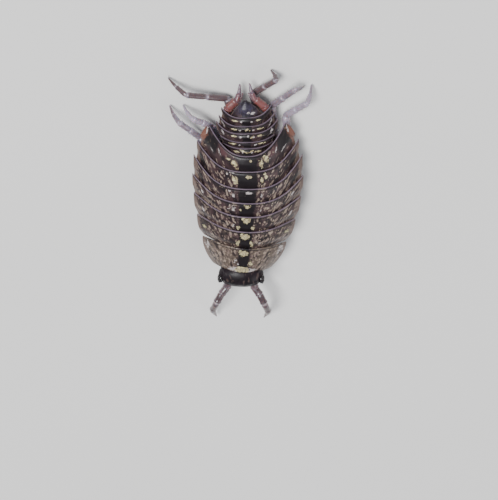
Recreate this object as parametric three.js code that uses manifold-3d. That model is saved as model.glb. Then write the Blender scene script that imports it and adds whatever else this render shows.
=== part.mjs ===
// A common striped woodlouse at life size, standing on its fourteen legs.
// Millimetres, +Z up. The head points along -Y, the tail along +Y, and +X is to
// the right of someone who looks from the tail towards the back of the animal.
// The origin is the middle of the footprint, on the floor.

import * as THREE from "three";
import { mergeVertices } from "three/addons/utils/BufferGeometryUtils.js";
import Module from "manifold-3d";

const wasm = await Module();
wasm.setup();

// Back plates from head to tail. length runs along the middle of the back, pitch is the
// slope of the back there in degrees, halfWidth and arch give the hind margin, setBack is
// how far the hind corners lie behind the middle of that margin, sweep is how late the
// margin turns back towards them, and round is how much of the corner is rounded off.
const plate = (name, length, pitch, halfWidth, arch, setBack, sweep, round) => ({
  name,
  length,
  pitch,
  halfWidth,
  arch,
  setBack,
  sweep,
  round,
});
const PLATES = [
  plate("pereon_plate_1", 1.6, 12, 1.8, 1.0, -0.36, 2.4, 0.1),
  plate("pereon_plate_2", 1.0, 7, 2.1, 1.12, 0.0, 2.6, 0.1),
  plate("pereon_plate_3", 0.83, 3, 2.27, 1.2, 0.46, 3.2, 0.12),
  plate("pereon_plate_4", 0.72, 0, 2.34, 1.23, 0.84, 3.8, 0.12),
  plate("pereon_plate_5", 0.72, -3, 2.28, 1.23, 1.24, 4, 0.12),
  plate("pereon_plate_6", 0.81, -8, 2.13, 1.18, 1.2, 3.6, 0.14),
  plate("pereon_plate_7", 0.7, -14, 1.98, 1.06, 2.15, 2.5, 1.5),
  plate("pleon_plate_1", 0.34, -17, 1.08, 0.58, 0.12, 3, 0),
  plate("pleon_plate_2", 0.27, -18, 1.13, 0.6, 0.16, 3.5, 0),
  plate("pleon_plate_3", 0.37, -19, 1.28, 0.66, 0.42, 4, 0),
  plate("pleon_plate_4", 0.31, -20, 1.16, 0.62, 0.42, 4, 0),
  plate("pleon_plate_5", 0.36, -22, 1.04, 0.56, 0.42, 3.4, 0),
  plate("telson", 0.74, -27, 0.03, 0.06, 0, 2.6, 0),
];
const FRONT_HALF_WIDTH = 1.2; // front margin of the first plate
const FRONT_ARCH = 0.72;
const FRONT_SET_BACK = -0.34;
const PLEON_HALF_WIDTH = 1.04; // front margin of the narrow hind body
const PLEON_ARCH = 0.5;
const TELSON_HALF_WIDTH = 0.8;
const TELSON_ARCH = 0.36;
const TELSON_SET_BACK = 0.12;
const PLAIN_SWEEP = 2.6; // of these three margins
const FIRST_PLEON = 7; // index of the first plate of the hind body
const TELSON = 12;

const BACK_HEIGHT = 2.3; // top of the fourth plate over the floor
const BOW = 0.18; // sideways bend of the whole body
const PLATE = 0.09; // thickness of a plate
const GAP = 0.04; // clearance between neighbours, in keeping with an animal this small
const OVERLAP = 0.12; // how far a plate reaches under the one ahead of it
const CORNER = 0.78; // where the rounding of a hind corner starts, as a part of the half width
const CORNER_POWER = 1.5;
const REACH = 0.7; // how much of its sweep the front margin keeps under the plate ahead
const ARCH_POWER = 2.1; // how late the back falls away to the sides

const LEG_RADIUS = 0.24; // at the basis
const LEG_ANKLE_RADIUS = 0.2;
const FOOT_RADIUS = 0.1; // the flat on the floor

const HEAD = { y: -4.08, z: 1.5, halfWidth: 0.99, halfLength: 0.58, up: 0.5, down: 0.6 };
const EYE = { x: 0.83, y: -4.2, z: 1.6, radius: 0.2 };

// Colours from the animal: dark brown shell, pale violet legs, rust uropods.
const SHELL = new THREE.MeshStandardMaterial({ color: 0x3a2a24, roughness: 0.32, metalness: 0 });
const DARK = new THREE.MeshStandardMaterial({ color: 0x17121a, roughness: 0.3, metalness: 0 });
const LIMB = new THREE.MeshStandardMaterial({ color: 0x9a8796, roughness: 0.35, metalness: 0 });
const RUST = new THREE.MeshStandardMaterial({ color: 0xb5584a, roughness: 0.35, metalness: 0 });
const BELLY = new THREE.MeshStandardMaterial({ color: 0xb9a79a, roughness: 0.45, metalness: 0 });

const radians = THREE.MathUtils.degToRad;
const mix = THREE.MathUtils.lerp;
const smooth = THREE.MathUtils.smoothstep;
const vec = (x, y, z) => new THREE.Vector3(x, y, z);

// The line of the back: distance s runs from the front of the first plate.
const ENDS = [0];
PLATES.forEach((plate, i) => ENDS.push(ENDS[i] + plate.length));
const BODY = ENDS[ENDS.length - 1];
const middleOf = (i) => (ENDS[i] + ENDS[i + 1]) / 2;

function pitchAt(s) {
  if (s <= middleOf(0)) return radians(PLATES[0].pitch);
  for (let i = 1; i < PLATES.length; i++)
    if (s <= middleOf(i)) {
      const t = (s - middleOf(i - 1)) / (middleOf(i) - middleOf(i - 1));
      return radians(mix(PLATES[i - 1].pitch, PLATES[i].pitch, t));
    }
  return radians(PLATES[TELSON].pitch);
}

const SPINE_STEP = 0.01;
const SPINE_FROM = -1.5;
const SPINE = (() => {
  const points = [];
  let y = 0;
  let z = 0;
  for (let s = SPINE_FROM; s < BODY + 1.5; s += SPINE_STEP) {
    points.push([y, z]);
    y += Math.cos(pitchAt(s)) * SPINE_STEP;
    z += Math.sin(pitchAt(s)) * SPINE_STEP;
  }
  const home = points[Math.round((middleOf(3) - SPINE_FROM) / SPINE_STEP)];
  return points.map(([a, b]) => [a - home[0], b - home[1] + BACK_HEIGHT]);
})();

// The frame of the back at distance s: point, right and up.
function backAt(s) {
  const at = (s - SPINE_FROM) / SPINE_STEP;
  const i = Math.floor(at);
  const y = mix(SPINE[i][0], SPINE[i + 1][0], at - i);
  const z = mix(SPINE[i][1], SPINE[i + 1][1], at - i);
  const along = (s - BODY / 2) / (BODY / 2);
  const yaw = (-2 * BOW * along) / (BODY / 2);
  const pitch = pitchAt(s);
  const tangent = vec(Math.sin(yaw), Math.cos(yaw) * Math.cos(pitch), Math.sin(pitch)).normalize();
  const right = tangent.clone().cross(vec(0, 0, 1)).normalize();
  return { point: vec(BOW * (1 - along * along), y, z), right, up: right.clone().cross(tangent) };
}

// A point of the back: across in millimetres from the middle, depth under the top.
function bodyPoint(s, across, depth) {
  const { point, right, up } = backAt(s);
  return point.addScaledVector(right, across).addScaledVector(up, -depth);
}

// Size of a plate's margins. The front margin is the hind one of the plate ahead.
function marginBefore(i) {
  const plain = (w, h, setBack) => ({ w, h, setBack, sweep: PLAIN_SWEEP, round: 0 });
  if (i === 0) return plain(FRONT_HALF_WIDTH, FRONT_ARCH, FRONT_SET_BACK);
  if (i === FIRST_PLEON) return plain(PLEON_HALF_WIDTH, PLEON_ARCH, 0);
  if (i === TELSON) return plain(TELSON_HALF_WIDTH, TELSON_ARCH, TELSON_SET_BACK);
  const { halfWidth, arch, setBack, sweep, round } = PLATES[i - 1];
  return { w: halfWidth, h: arch, setBack, sweep, round };
}

// How far a margin lies behind its middle at u across.
function setBackAt(margin, u) {
  const corner = Math.max(Math.abs(u) - CORNER, 0) / (1 - CORNER);
  return margin.setBack * Math.abs(u) ** margin.sweep - margin.round * corner ** CORNER_POWER;
}

// The smooth outer form of plate i at u across (-1 to 1) and v along (0 to 1).
function plateForm(i, u, v) {
  const front = marginBefore(i);
  const hind = PLATES[i];
  const edge = ENDS[i] + setBackAt(front, u);
  const s0 = i === 0 ? edge : ENDS[i] + setBackAt(front, u) * REACH - OVERLAP;
  const s1 = ENDS[i + 1] + setBackAt(hind, u);
  const grow = i === TELSON ? v ** 1.25 : Math.sin((v * Math.PI) / 2) ** 0.8;
  const w = mix(front.w, hind.halfWidth, grow);
  const h = mix(front.h, hind.arch, i === TELSON ? v : v ** 0.9);
  return { s: mix(s0, s1, v), s0, s1, edge, across: w * u, depth: h * Math.abs(u) ** ARCH_POWER };
}

// How far the plate is lowered near its front to pass under the one ahead.
function tuck(i, u, v) {
  if (i === 0) return 0;
  const { s0, s1, edge, across } = plateForm(i, u, v);
  let covered = edge + 0.02;
  if (i === FIRST_PLEON || i === FIRST_PLEON + 1) {
    const last = PLATES[FIRST_PLEON - 1];
    covered = Math.max(covered, ENDS[FIRST_PLEON] + setBackAt(last, across / last.halfWidth) + 0.03);
  }
  const from = Math.min((covered - s0) / (s1 - s0), 0.9);
  return (PLATE + GAP) * (1 - smooth(v, from, Math.min(from + 0.4, 1)));
}

// Outer surface of a plate lowered by `under`, measured square to the surface.
function plateSurface(i, u, v, under) {
  const e = 0.01;
  const at = (a, b) => {
    const f = plateForm(i, a, b);
    return bodyPoint(f.s, f.across, f.depth);
  };
  const u0 = Math.max(u - e, -1);
  const u1 = Math.min(u + e, 1);
  const v0 = Math.max(v - e, 0);
  const v1 = Math.min(v + e, 1);
  const across = at(u1, v).sub(at(u0, v));
  const along = at(u, v1).sub(at(u, v0));
  const normal = across.cross(along).normalize();
  return at(u, v).addScaledVector(normal, -under - tuck(i, u, v));
}

// A closed mesh from indexed points, with every face turned to point out.
function meshOf(points, faces) {
  const geometry = new THREE.BufferGeometry();
  const xyz = points.flatMap((p) => [p.x, p.y, p.z]);
  geometry.setAttribute("position", new THREE.Float32BufferAttribute(xyz, 3));
  let volume = 0;
  for (const [a, b, c] of faces) volume += points[a].dot(points[b].clone().cross(points[c]));
  geometry.setIndex(faces.flatMap(([a, b, c]) => (volume > 0 ? [a, b, c] : [a, c, b])));
  return geometry;
}

// A slab between two grids of points of the same size.
function slab(outer, inner) {
  const rows = outer.length;
  const columns = outer[0].length;
  const points = [...outer.flat(), ...inner.flat()];
  const shift = rows * columns;
  const at = (r, c) => r * columns + c;
  const faces = [];
  const quad = (a, b, c, d) => faces.push([a, b, c], [a, c, d]);
  for (let r = 0; r + 1 < rows; r++)
    for (let c = 0; c + 1 < columns; c++) {
      quad(at(r, c), at(r, c + 1), at(r + 1, c + 1), at(r + 1, c));
      const [a, b, e, d] = [at(r, c), at(r, c + 1), at(r + 1, c + 1), at(r + 1, c)].map((k) => k + shift);
      faces.push([a, e, b], [a, d, e]);
    }
  const border = [];
  for (let c = 0; c + 1 < columns; c++) border.push([at(0, c), at(0, c + 1)]);
  for (let r = 0; r + 1 < rows; r++) border.push([at(r, columns - 1), at(r + 1, columns - 1)]);
  for (let c = columns - 1; c > 0; c--) border.push([at(rows - 1, c), at(rows - 1, c - 1)]);
  for (let r = rows - 1; r > 0; r--) border.push([at(r, 0), at(r - 1, 0)]);
  for (const [a, b] of border) faces.push([b, a, a + shift], [b, a + shift, b + shift]);
  return meshOf(points, faces);
}

// A body skinned over rings of points, closed by a point at each end.
function skin(rings, first, last) {
  const sides = rings[0].length;
  const points = [...rings.flat(), first, last];
  const faces = [];
  for (let r = 0; r + 1 < rings.length; r++)
    for (let c = 0; c < sides; c++) {
      const d = (c + 1) % sides;
      faces.push([r * sides + c, r * sides + d, (r + 1) * sides + d]);
      faces.push([r * sides + c, (r + 1) * sides + d, (r + 1) * sides + c]);
    }
  const end = (rings.length - 1) * sides;
  for (let c = 0; c < sides; c++) {
    const d = (c + 1) % sides;
    faces.push([points.length - 2, d, c]);
    faces.push([points.length - 1, end + c, end + d]);
  }
  return meshOf(points, faces);
}

const centreOf = (ring) => ring.reduce((sum, p) => sum.add(p), vec(0, 0, 0)).divideScalar(ring.length);

const part = new THREE.Group();
const body = new THREE.Group();
part.add(body);

function addMesh(name, geometry, material) {
  const mesh = new THREE.Mesh(geometry, material);
  mesh.name = name;
  body.add(mesh);
  return mesh;
}

// Joining and cutting of closed meshes.
function solidOf(geometry) {
  const plain = mergeVertices(geometry.clone());
  return new wasm.Manifold(
    new wasm.Mesh({
      numProp: 3,
      vertProperties: new Float32Array(plain.attributes.position.array),
      triVerts: new Uint32Array(plain.index.array),
    }),
  );
}

function geometryOf(solid) {
  const largest = solid.decompose().sort((a, b) => b.volume() - a.volume())[0];
  const mesh = largest.getMesh();
  const geometry = new THREE.BufferGeometry();
  const xyz = [];
  for (let i = 0; i < mesh.numVert; i++)
    xyz.push(...mesh.vertProperties.subarray(i * mesh.numProp, i * mesh.numProp + 3));
  geometry.setAttribute("position", new THREE.Float32BufferAttribute(xyz, 3));
  geometry.setIndex([...mesh.triVerts]);
  return geometry;
}

const join = (pieces) => geometryOf(pieces.map(solidOf).reduce((a, b) => a.add(b)));
const cut = (piece, tools) => geometryOf(tools.map(solidOf).reduce((a, b) => a.subtract(b), solidOf(piece)));

// One back plate: thin at its margins, with a low rim along the hind margin.
const ACROSS = 18;
const PLEON_ACROSS = 14;
const RIM = 0.018;

function plateGeometry(i, grow = 0) {
  const columns = i < FIRST_PLEON ? ACROSS : PLEON_ACROSS;
  const rows = i === TELSON ? [0, 0.25, 0.5, 0.75, 1] : [0, 0.22, 0.5, 0.8, 0.93, 1];
  const grid = (under) =>
    rows.map((v) =>
      Array.from({ length: columns + 1 }, (_, c) => {
        const u = Math.sin(((c / columns - 0.5) * Math.PI) / 1.16) / Math.sin(Math.PI / 2.32);
        return plateSurface(i, u, v, under(u, v));
      }),
    );
  const swell = (v) => 0.02 * Math.sin(Math.PI * v) + RIM * smooth(v, 0.8, 0.93) * (1 - smooth(v, 0.93, 1.3));
  const outer = grid((u, v) => -swell(v) * (1 - u * u) - grow);
  const inner = grid((u) => PLATE * (1 - 0.4 * u ** 6) + grow);
  return slab(outer, inner);
}

PLATES.forEach((plate, i) => addMesh(plate.name, plateGeometry(i), SHELL));

// The body under the plates, flat along its belly, from the neck to under the telson.
const CORE_DEPTH = 2 * PLATE + 2 * GAP;
const CORE_SIDES = 9;
const NECK = 0.3;

function coreSize(s) {
  const knots = [
    [NECK, 0.72, 0.8, 0.98],
    [ENDS[1], 1.28, 0.94, 1.2],
    [ENDS[2], 1.5, 1.04, 1.3],
    [ENDS[4], 1.66, 1.12, 1.36],
    [ENDS[6], 1.55, 1.06, 1.26],
    [ENDS[7] - 0.35, 1.1, 0.9, 1.1],
    [ENDS[7] - 0.05, 0.82, 0.52, 0.78],
    [ENDS[10], 0.86, 0.56, 0.74],
    [ENDS[12] - 0.05, 0.56, 0.46, 0.56],
  ];
  let k = 1;
  while (k < knots.length - 1 && s > knots[k][0]) k++;
  const t = smooth(s, knots[k - 1][0], knots[k][0]);
  const [width, side, belly] = [1, 2, 3].map((c) => mix(knots[k - 1][c], knots[k][c], t));
  return { width, side, belly };
}

// Back form of the whole body at s, without the steps between plates.
function archAt(s) {
  const knots = [
    [0, FRONT_HALF_WIDTH, FRONT_ARCH],
    ...PLATES.slice(0, 6).map((plate, i) => [ENDS[i + 1] + 0.4 * plate.setBack, plate.halfWidth, plate.arch]),
    [ENDS[7] - 0.25, PLATES[6].halfWidth, PLATES[6].arch],
    [ENDS[7] - 0.05, PLEON_HALF_WIDTH, PLEON_ARCH],
    [ENDS[12], 0.98, 0.5],
  ];
  let k = 1;
  while (k < knots.length - 1 && s > knots[k][0]) k++;
  const t = THREE.MathUtils.clamp((s - knots[k - 1][0]) / (knots[k][0] - knots[k - 1][0]), 0, 1);
  return { w: mix(knots[k - 1][1], knots[k][1], t), h: mix(knots[k - 1][2], knots[k][2], t) };
}

function coreTop(s, across) {
  const { w, h } = archAt(s);
  return h * Math.abs(across / w) ** ARCH_POWER + CORE_DEPTH * (1 + 0.5 * (across / w) ** 2);
}

function coreRing(s) {
  const { width, side, belly } = coreSize(s);
  const ring = [];
  for (let c = 0; c <= CORE_SIDES; c++) {
    const x = width * (1 - (2 * c) / CORE_SIDES);
    ring.push(bodyPoint(s, x, Math.min(coreTop(s, x), side + CORE_DEPTH)));
  }
  for (let c = 1; c < CORE_SIDES; c++) {
    const x = -width * (1 - (2 * c) / CORE_SIDES);
    ring.push(bodyPoint(s, x * 0.96, belly + 0.02 * Math.cos((3 * x) / width)));
  }
  return ring;
}

function bellyPoint(s, across) {
  const { width, belly } = coreSize(s);
  return bodyPoint(s, across, belly + 0.02 * Math.cos((3 * across) / width) + GAP);
}

const CORE_END = ENDS[12] - 0.05;
const CORE_STEPS = 22;
const coreRings = [];
for (let k = 0; k <= CORE_STEPS; k++) coreRings.push(coreRing(mix(NECK, CORE_END, k / CORE_STEPS)));
addMesh("underside", skin(coreRings, centreOf(coreRings[0]), centreOf(coreRings[CORE_STEPS])), BELLY);

// Articles are narrow at their joints and widest before their ends.
const LIMB_SIDES = 7;
const LIMB_UP = vec(0, 0.13, 1).normalize(); // what the rings of feelers and uropods turn to
const WAIST = 0.86; // size at the joints, as a part of the radius
const WIDE_AT = [0.22, 0.82]; // places of the wide rings along an article
const BULGE = 0.07;
const bulgeAt = (t) => 1 + BULGE * Math.sin(Math.PI * t ** 1.6);

function ringAt(centre, normal, radius, hint) {
  const side = hint.clone().cross(normal).normalize();
  const other = normal.clone().cross(side).normalize();
  return Array.from({ length: LIMB_SIDES }, (_, c) => {
    const a = (2 * Math.PI * c) / LIMB_SIDES;
    const point = centre.clone().addScaledVector(side, Math.cos(a) * radius);
    return point.addScaledVector(other, Math.sin(a) * radius);
  });
}

// A limb in one skin, with rings square to its path.
function limb(joints, radii, rootNormal) {
  const last = joints.length - 1;
  const along = joints.slice(1).map((p, i) => p.clone().sub(joints[i]).normalize());
  const rings = [];
  joints.forEach((joint, i) => {
    if (i === 0) rings.push(ringAt(joint, rootNormal ?? along[0], radii[0], LIMB_UP));
    else if (i === last) rings.push(ringAt(joint, along[i - 1], radii[i], LIMB_UP));
    else {
      const between = along[i - 1].clone().add(along[i]).normalize();
      rings.push(ringAt(joint, between, radii[i] * WAIST, LIMB_UP));
    }
    if (i === last) return;
    for (const t of WIDE_AT) {
      const centre = joint.clone().lerp(joints[i + 1], t);
      rings.push(ringAt(centre, along[i], mix(radii[i], radii[i + 1], t) * bulgeAt(t), LIMB_UP));
    }
  });
  return skin(rings, joints[0], joints[last]);
}

// The legs. s and across place the root, bend and knee are points of the path, and foot is
// where it stands. The front legs are the same on both sides, beside the body's middle
// line. The hind legs are each in its own place, and left has negative X.
const FRONT_LEGS = [
  { pair: 1, s: 1.26, across: 0.72, bend: [1.08, -2.7, 0.72], knee: [1.36, -3.15, 0.7], foot: [1.38, -3.7] },
  { pair: 2, s: 2.13, across: 0.88, bend: [1.42, -1.65, 0.74], knee: [1.74, -1.95, 0.7], foot: [1.8, -2.4] },
  { pair: 3, s: 3.03, across: 0.95, bend: [1.6, -0.62, 0.74], knee: [1.92, -0.76, 0.7], foot: [1.96, -1.16] },
  { pair: 4, s: 3.8, across: 0.98, bend: [1.6, 0.42, 0.74], knee: [1.92, 0.78, 0.7], foot: [1.92, 1.28] },
];
const LEFT_HIND_LEGS = [
  {
    pair: 5,
    s: 4.4,
    across: 1.0,
    ischium: [-1.55, 1.75, 0.6],
    bend: [-1.86, 2.45, 0.52],
    knee: [-2.72, 3.4, 0.86],
    foot: [-3.14, 3.74],
  },
  {
    pair: 6,
    s: 5.1,
    across: 0.76,
    ischium: [-1.14, 2.5, 0.52],
    bend: [-1.4, 3.02, 0.5],
    knee: [-2.16, 3.64, 0.92],
    foot: [-2.58, 3.78],
  },
  {
    pair: 7,
    s: 5.66,
    across: 0.42,
    ischium: [-0.6, 3.5, 0.36],
    bend: [-0.74, 4.3, 0.32],
    knee: [-2.45, 4.74, 0.78],
    foot: [-3.2, 5.12],
  },
];
const RIGHT_HIND_LEGS = [
  {
    pair: 5,
    s: 4.4,
    across: 1.0,
    ischium: [1.84, 2.1, 0.56],
    bend: [1.7, 3.62, 0.46],
    knee: [2.56, 4.5, 0.84],
    foot: [2.72, 4.94],
  },
  {
    pair: 6,
    s: 5.1,
    across: 0.78,
    ischium: [1.26, 2.95, 0.48],
    bend: [1.1, 4.05, 0.4],
    knee: [2.04, 5.16, 0.84],
    foot: [2.42, 4.84],
  },
  {
    pair: 7,
    s: 5.66,
    across: 0.36,
    ischium: [0.46, 3.6, 0.34],
    bend: [0.36, 4.6, 0.28],
    knee: [1.26, 5.5, 0.66],
    foot: [1.02, 5.62],
  },
];

const COXA_LENGTH = 0.3;
const HIP_OUT = 0.12; // how far the coxa's end lies towards the bend
const ISCHIUM_AT = 0.6; // places of joints between the given points
const MERUS_AT = 0.52;
const PROPODUS_AT = 0.5;
const FOOT_BOW = [0.05, 0.06]; // how far the last joint stands out and up
const THINNING = [0, 0.3, 0.5, 0.7, 0.9]; // from the basis towards the ankle
const ANKLE = 0.85;
const SUNK = 0.4; // how far an article's ends reach into its neighbours, in radii

// One article of a leg.
function article(from, to, fromRadius, toRadius, hint) {
  const along = to.clone().sub(from).normalize();
  const ring = (t, size) => {
    const radius = mix(fromRadius, toRadius, t) * size;
    return ringAt(from.clone().lerp(to, t), along, radius, hint);
  };
  const rings = [ring(0, WAIST), ...WIDE_AT.map((t) => ring(t, bulgeAt(t))), ring(1, WAIST)];
  const first = from.clone().addScaledVector(along, -fromRadius * SUNK);
  return skin(rings, first, to.clone().addScaledVector(along, toRadius * SUNK));
}

// What lies under the floor, for cutting the feet flat.
const BELOW_SIZE = 20;
const BELOW = new THREE.BoxGeometry(BELOW_SIZE, BELOW_SIZE, 1).translate(0, 0, -0.5);
BELOW.deleteAttribute("normal");
BELOW.deleteAttribute("uv");

function legJoints(leg, root, side, up) {
  const mirrored = Math.sign(leg.bend[0]) === side ? 1 : -1;
  const beside = leg.ischium ? 0 : backAt(leg.s).point.x;
  const place = (p, z) => vec(p[0] * mirrored + beside, p[1], z ?? p[2]);
  const bend = place(leg.bend);
  const knee = place(leg.knee);
  const foot = place(leg.foot, 0);
  const hip = root.clone().addScaledVector(up, -COXA_LENGTH);
  hip.add(bend.clone().sub(root).setZ(0).setLength(HIP_OUT));
  const ischium = leg.ischium ? place(leg.ischium) : hip.clone().lerp(bend, ISCHIUM_AT);
  const merus = bend.clone().lerp(knee, MERUS_AT);
  const propodus = knee.clone().lerp(foot, PROPODUS_AT);
  propodus.add(vec(side * FOOT_BOW[0], 0, FOOT_BOW[1]));
  return [hip, ischium, bend, merus, knee, propodus, foot];
}

function addLeg(leg, side, name) {
  const root = bellyPoint(leg.s, side * leg.across);
  const { up } = backAt(leg.s);
  const joints = legJoints(leg, root, side, up);
  const radii = THINNING.map((t) => mix(LEG_RADIUS, LEG_ANKLE_RADIUS, t));
  radii.push(LEG_ANKLE_RADIUS * ANKLE, FOOT_RADIUS);
  const hint = vec(-side * 0.35, 1, 0.12).normalize();
  const down = up.clone().negate();
  const coxaRings = [root, joints[0]].map((point) => ringAt(point, down, LEG_RADIUS, hint));
  const coxa = skin(coxaRings, root, joints[0]);
  const articles = joints.slice(1).map((joint, i) => article(joints[i], joint, radii[i], radii[i + 1], hint));
  addMesh(name, cut(join([coxa, ...articles]), [BELOW]), LIMB);
}

for (const leg of [...FRONT_LEGS, ...LEFT_HIND_LEGS]) addLeg(leg, -1, `leg_${leg.pair}_left`);
for (const leg of [...FRONT_LEGS, ...RIGHT_HIND_LEGS]) addLeg(leg, 1, `leg_${leg.pair}_right`);

// The head: a broad rounded capsule that passes under the first plate.
const headX = backAt(0).point.x - 0.02;
const SQUARE = 0.92; // 1 is an ellipsoid, less is boxier

function headPoint(lon, lat) {
  const box = (t, power) => Math.sign(t) * Math.abs(t) ** power;
  const x = box(Math.cos(lat), SQUARE) * box(Math.sin(lon), SQUARE);
  const y = box(Math.cos(lat), SQUARE) * box(Math.cos(lon), SQUARE);
  const z = box(Math.sin(lat), SQUARE);
  const forward = -y * HEAD.halfLength;
  const brow = 1 - 0.16 * Math.max(z, 0) * Math.max(y, 0);
  return vec(
    headX + x * HEAD.halfWidth * (1 - 0.1 * Math.max(-z, 0)),
    HEAD.y + forward * brow - 0.06 * z,
    HEAD.z + (z > 0 ? z * HEAD.up : z * HEAD.down) - 0.12 * Math.max(y, 0) - 0.1 * x * x,
  );
}

const HEAD_AROUND = 22;
const HEAD_UP = 12;
const headRings = [];
for (let r = 1; r < HEAD_UP; r++) {
  const lat = mix(-Math.PI / 2, Math.PI / 2, r / HEAD_UP);
  headRings.push(
    Array.from({ length: HEAD_AROUND }, (_, c) => headPoint((2 * Math.PI * c) / HEAD_AROUND, lat)),
  );
}
const headSolid = skin(headRings, headPoint(0, -Math.PI / 2), headPoint(0, Math.PI / 2));

// Each eye is a low dome on the side of the head, set in a shallow socket.
function dome(centre, radius, squash) {
  const geometry = new THREE.SphereGeometry(radius, 12, 8);
  geometry.deleteAttribute("normal");
  geometry.deleteAttribute("uv");
  geometry.scale(squash, 1.12, 1);
  geometry.translate(centre.x, centre.y, centre.z);
  return mergeVertices(geometry, 1e-5);
}

const eyes = [-1, 1].map((side) => {
  const centre = vec(headX + side * EYE.x, EYE.y, EYE.z);
  return { side, centre, ball: dome(centre, EYE.radius, 0.62), socket: dome(centre, EYE.radius + GAP, 0.7) };
});
const headCut = cut(headSolid, [plateGeometry(0, GAP), ...eyes.map((eye) => eye.socket)]);
addMesh("head", headCut, DARK);
for (const eye of eyes) addMesh(eye.side < 0 ? "eye_left" : "eye_right", eye.ball, DARK);

// Antennae: five articles in an elbow, then a whip of three small ones.
const ANTENNA = {
  root: { lon: 0.52, lat: -0.2 }, // place on the head's front, in radians
  joints: [
    [0.62, -4.98, 1.28],
    [0.84, -5.26, 1.4],
    [1.04, -5.66, 1.5],
    [1.22, -6.4, 1.1],
    [1.18, -6.85, 0.7],
    [1.12, -7.15, 0.46],
    [1.05, -7.45, 0.26],
  ],
  radii: [0.23, 0.25, 0.25, 0.24, 0.2, 0.15, 0.11, 0.05],
};

function antennaRoot(side) {
  const { lon, lat } = ANTENNA.root;
  const e = 0.02;
  const point = headPoint(side * lon, lat);
  const across = headPoint(side * lon + e, lat).sub(point);
  const upward = headPoint(side * lon, lat + e).sub(point);
  const normal = across.cross(upward).normalize();
  if (normal.y > 0) normal.negate();
  return { point: point.addScaledVector(normal, GAP), normal };
}

for (const side of [-1, 1]) {
  const { point, normal } = antennaRoot(side);
  const joints = [point, ...ANTENNA.joints.map(([x, y, z]) => vec(headX + side * x, y, z))];
  const name = side < 0 ? "antenna_left" : "antenna_right";
  addMesh(name, limb(joints, ANTENNA.radii, normal), LIMB);
}

// Mouthparts: a pair of broad plates below the head, joined along the middle.
function bead(centre, size, turn) {
  const geometry = new THREE.SphereGeometry(1, 10, 6);
  geometry.deleteAttribute("normal");
  geometry.deleteAttribute("uv");
  geometry.scale(...size);
  geometry.rotateZ(turn);
  geometry.translate(...centre);
  return mergeVertices(geometry, 1e-5);
}
const MOUTH = { across: 0.2, y: -4.06, below: 0.17, size: [0.26, 0.42, 0.13], turn: 0.18 };
const mouthZ = HEAD.z - HEAD.down - MOUTH.below;
const mouth = [-1, 1].map((side) =>
  bead([headX + side * MOUTH.across, MOUTH.y, mouthZ], MOUTH.size, side * MOUTH.turn),
);
addMesh("mouthparts", join(mouth), BELLY);

// Uropods: a stout base beside the telson, a long outer branch and a slim inner one.
// Joints are behind the telson's front, from the middle line and under the back.
const UROPOD = {
  base: { joints: [[0.08, 0.86, 0.72], [0.36, 0.74, 0.6], [0.68, 0.38, 0.48]], radii: [0.16, 0.21, 0.18] },
  outer: { joints: [[0.58, 0.4, 0.5], [0.94, 0.26, 0.44], [1.36, 0.2, 0.38]], radii: [0.16, 0.16, 0.05] },
  inner: { joints: [[0.5, 0.32, 0.58], [0.98, 0.12, 0.52]], radii: [0.11, 0.05] },
};
for (const side of [-1, 1]) {
  const pieces = Object.values(UROPOD).map(({ joints, radii }) =>
    limb(joints.map(([s, across, depth]) => bodyPoint(ENDS[TELSON] + s, side * across, depth)), radii),
  );
  addMesh(side < 0 ? "uropod_left" : "uropod_right", join(pieces), RUST);
}

// Pleopods: five overlapping flaps on each side under the hind body.
const FLAPS = { count: 5, across: 0.37, below: 0.18, width: 0.33, taper: 0.02, length: 0.34, thick: 0.09 };
const FLAP_TILT = 0.08;
for (const side of [-1, 1]) {
  const flaps = [];
  for (let k = 0; k < FLAPS.count; k++) {
    const s = mix(ENDS[FIRST_PLEON] + 0.25, ENDS[TELSON - 1] + 0.1, k / (FLAPS.count - 1));
    const { up } = backAt(s);
    const centre = bodyPoint(s, side * FLAPS.across, coreSize(s).belly + FLAPS.below);
    const geometry = new THREE.SphereGeometry(1, 8, 6);
    geometry.deleteAttribute("normal");
    geometry.deleteAttribute("uv");
    geometry.scale(FLAPS.width - FLAPS.taper * k, FLAPS.length, FLAPS.thick);
    geometry.rotateX(-Math.asin(up.y) - FLAP_TILT);
    geometry.translate(centre.x, centre.y, centre.z);
    flaps.push(mergeVertices(geometry, 1e-5));
  }
  addMesh(side < 0 ? "pleopods_left" : "pleopods_right", join(flaps), BELLY);
}

// Set the feet on the floor and the middle of the footprint on the origin.
body.updateMatrixWorld(true);
const bounds = new THREE.Box3().setFromObject(body);
const centre = bounds.getCenter(vec(0, 0, 0));
body.position.set(-centre.x, -centre.y, -bounds.min.z);

export default part;
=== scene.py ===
"""A common striped woodlouse at life size: its shell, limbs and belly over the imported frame.

Shapes are worked out in millimetres in the animal's own frame (head towards -Y, tail
towards +Y, feet on the floor) and are stored in metres in the shared frame.
"""

import logging
import math
from dataclasses import dataclass, field, replace
from enum import Enum

import bpy
import numpy as np
from mathutils import Matrix, Vector


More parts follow.
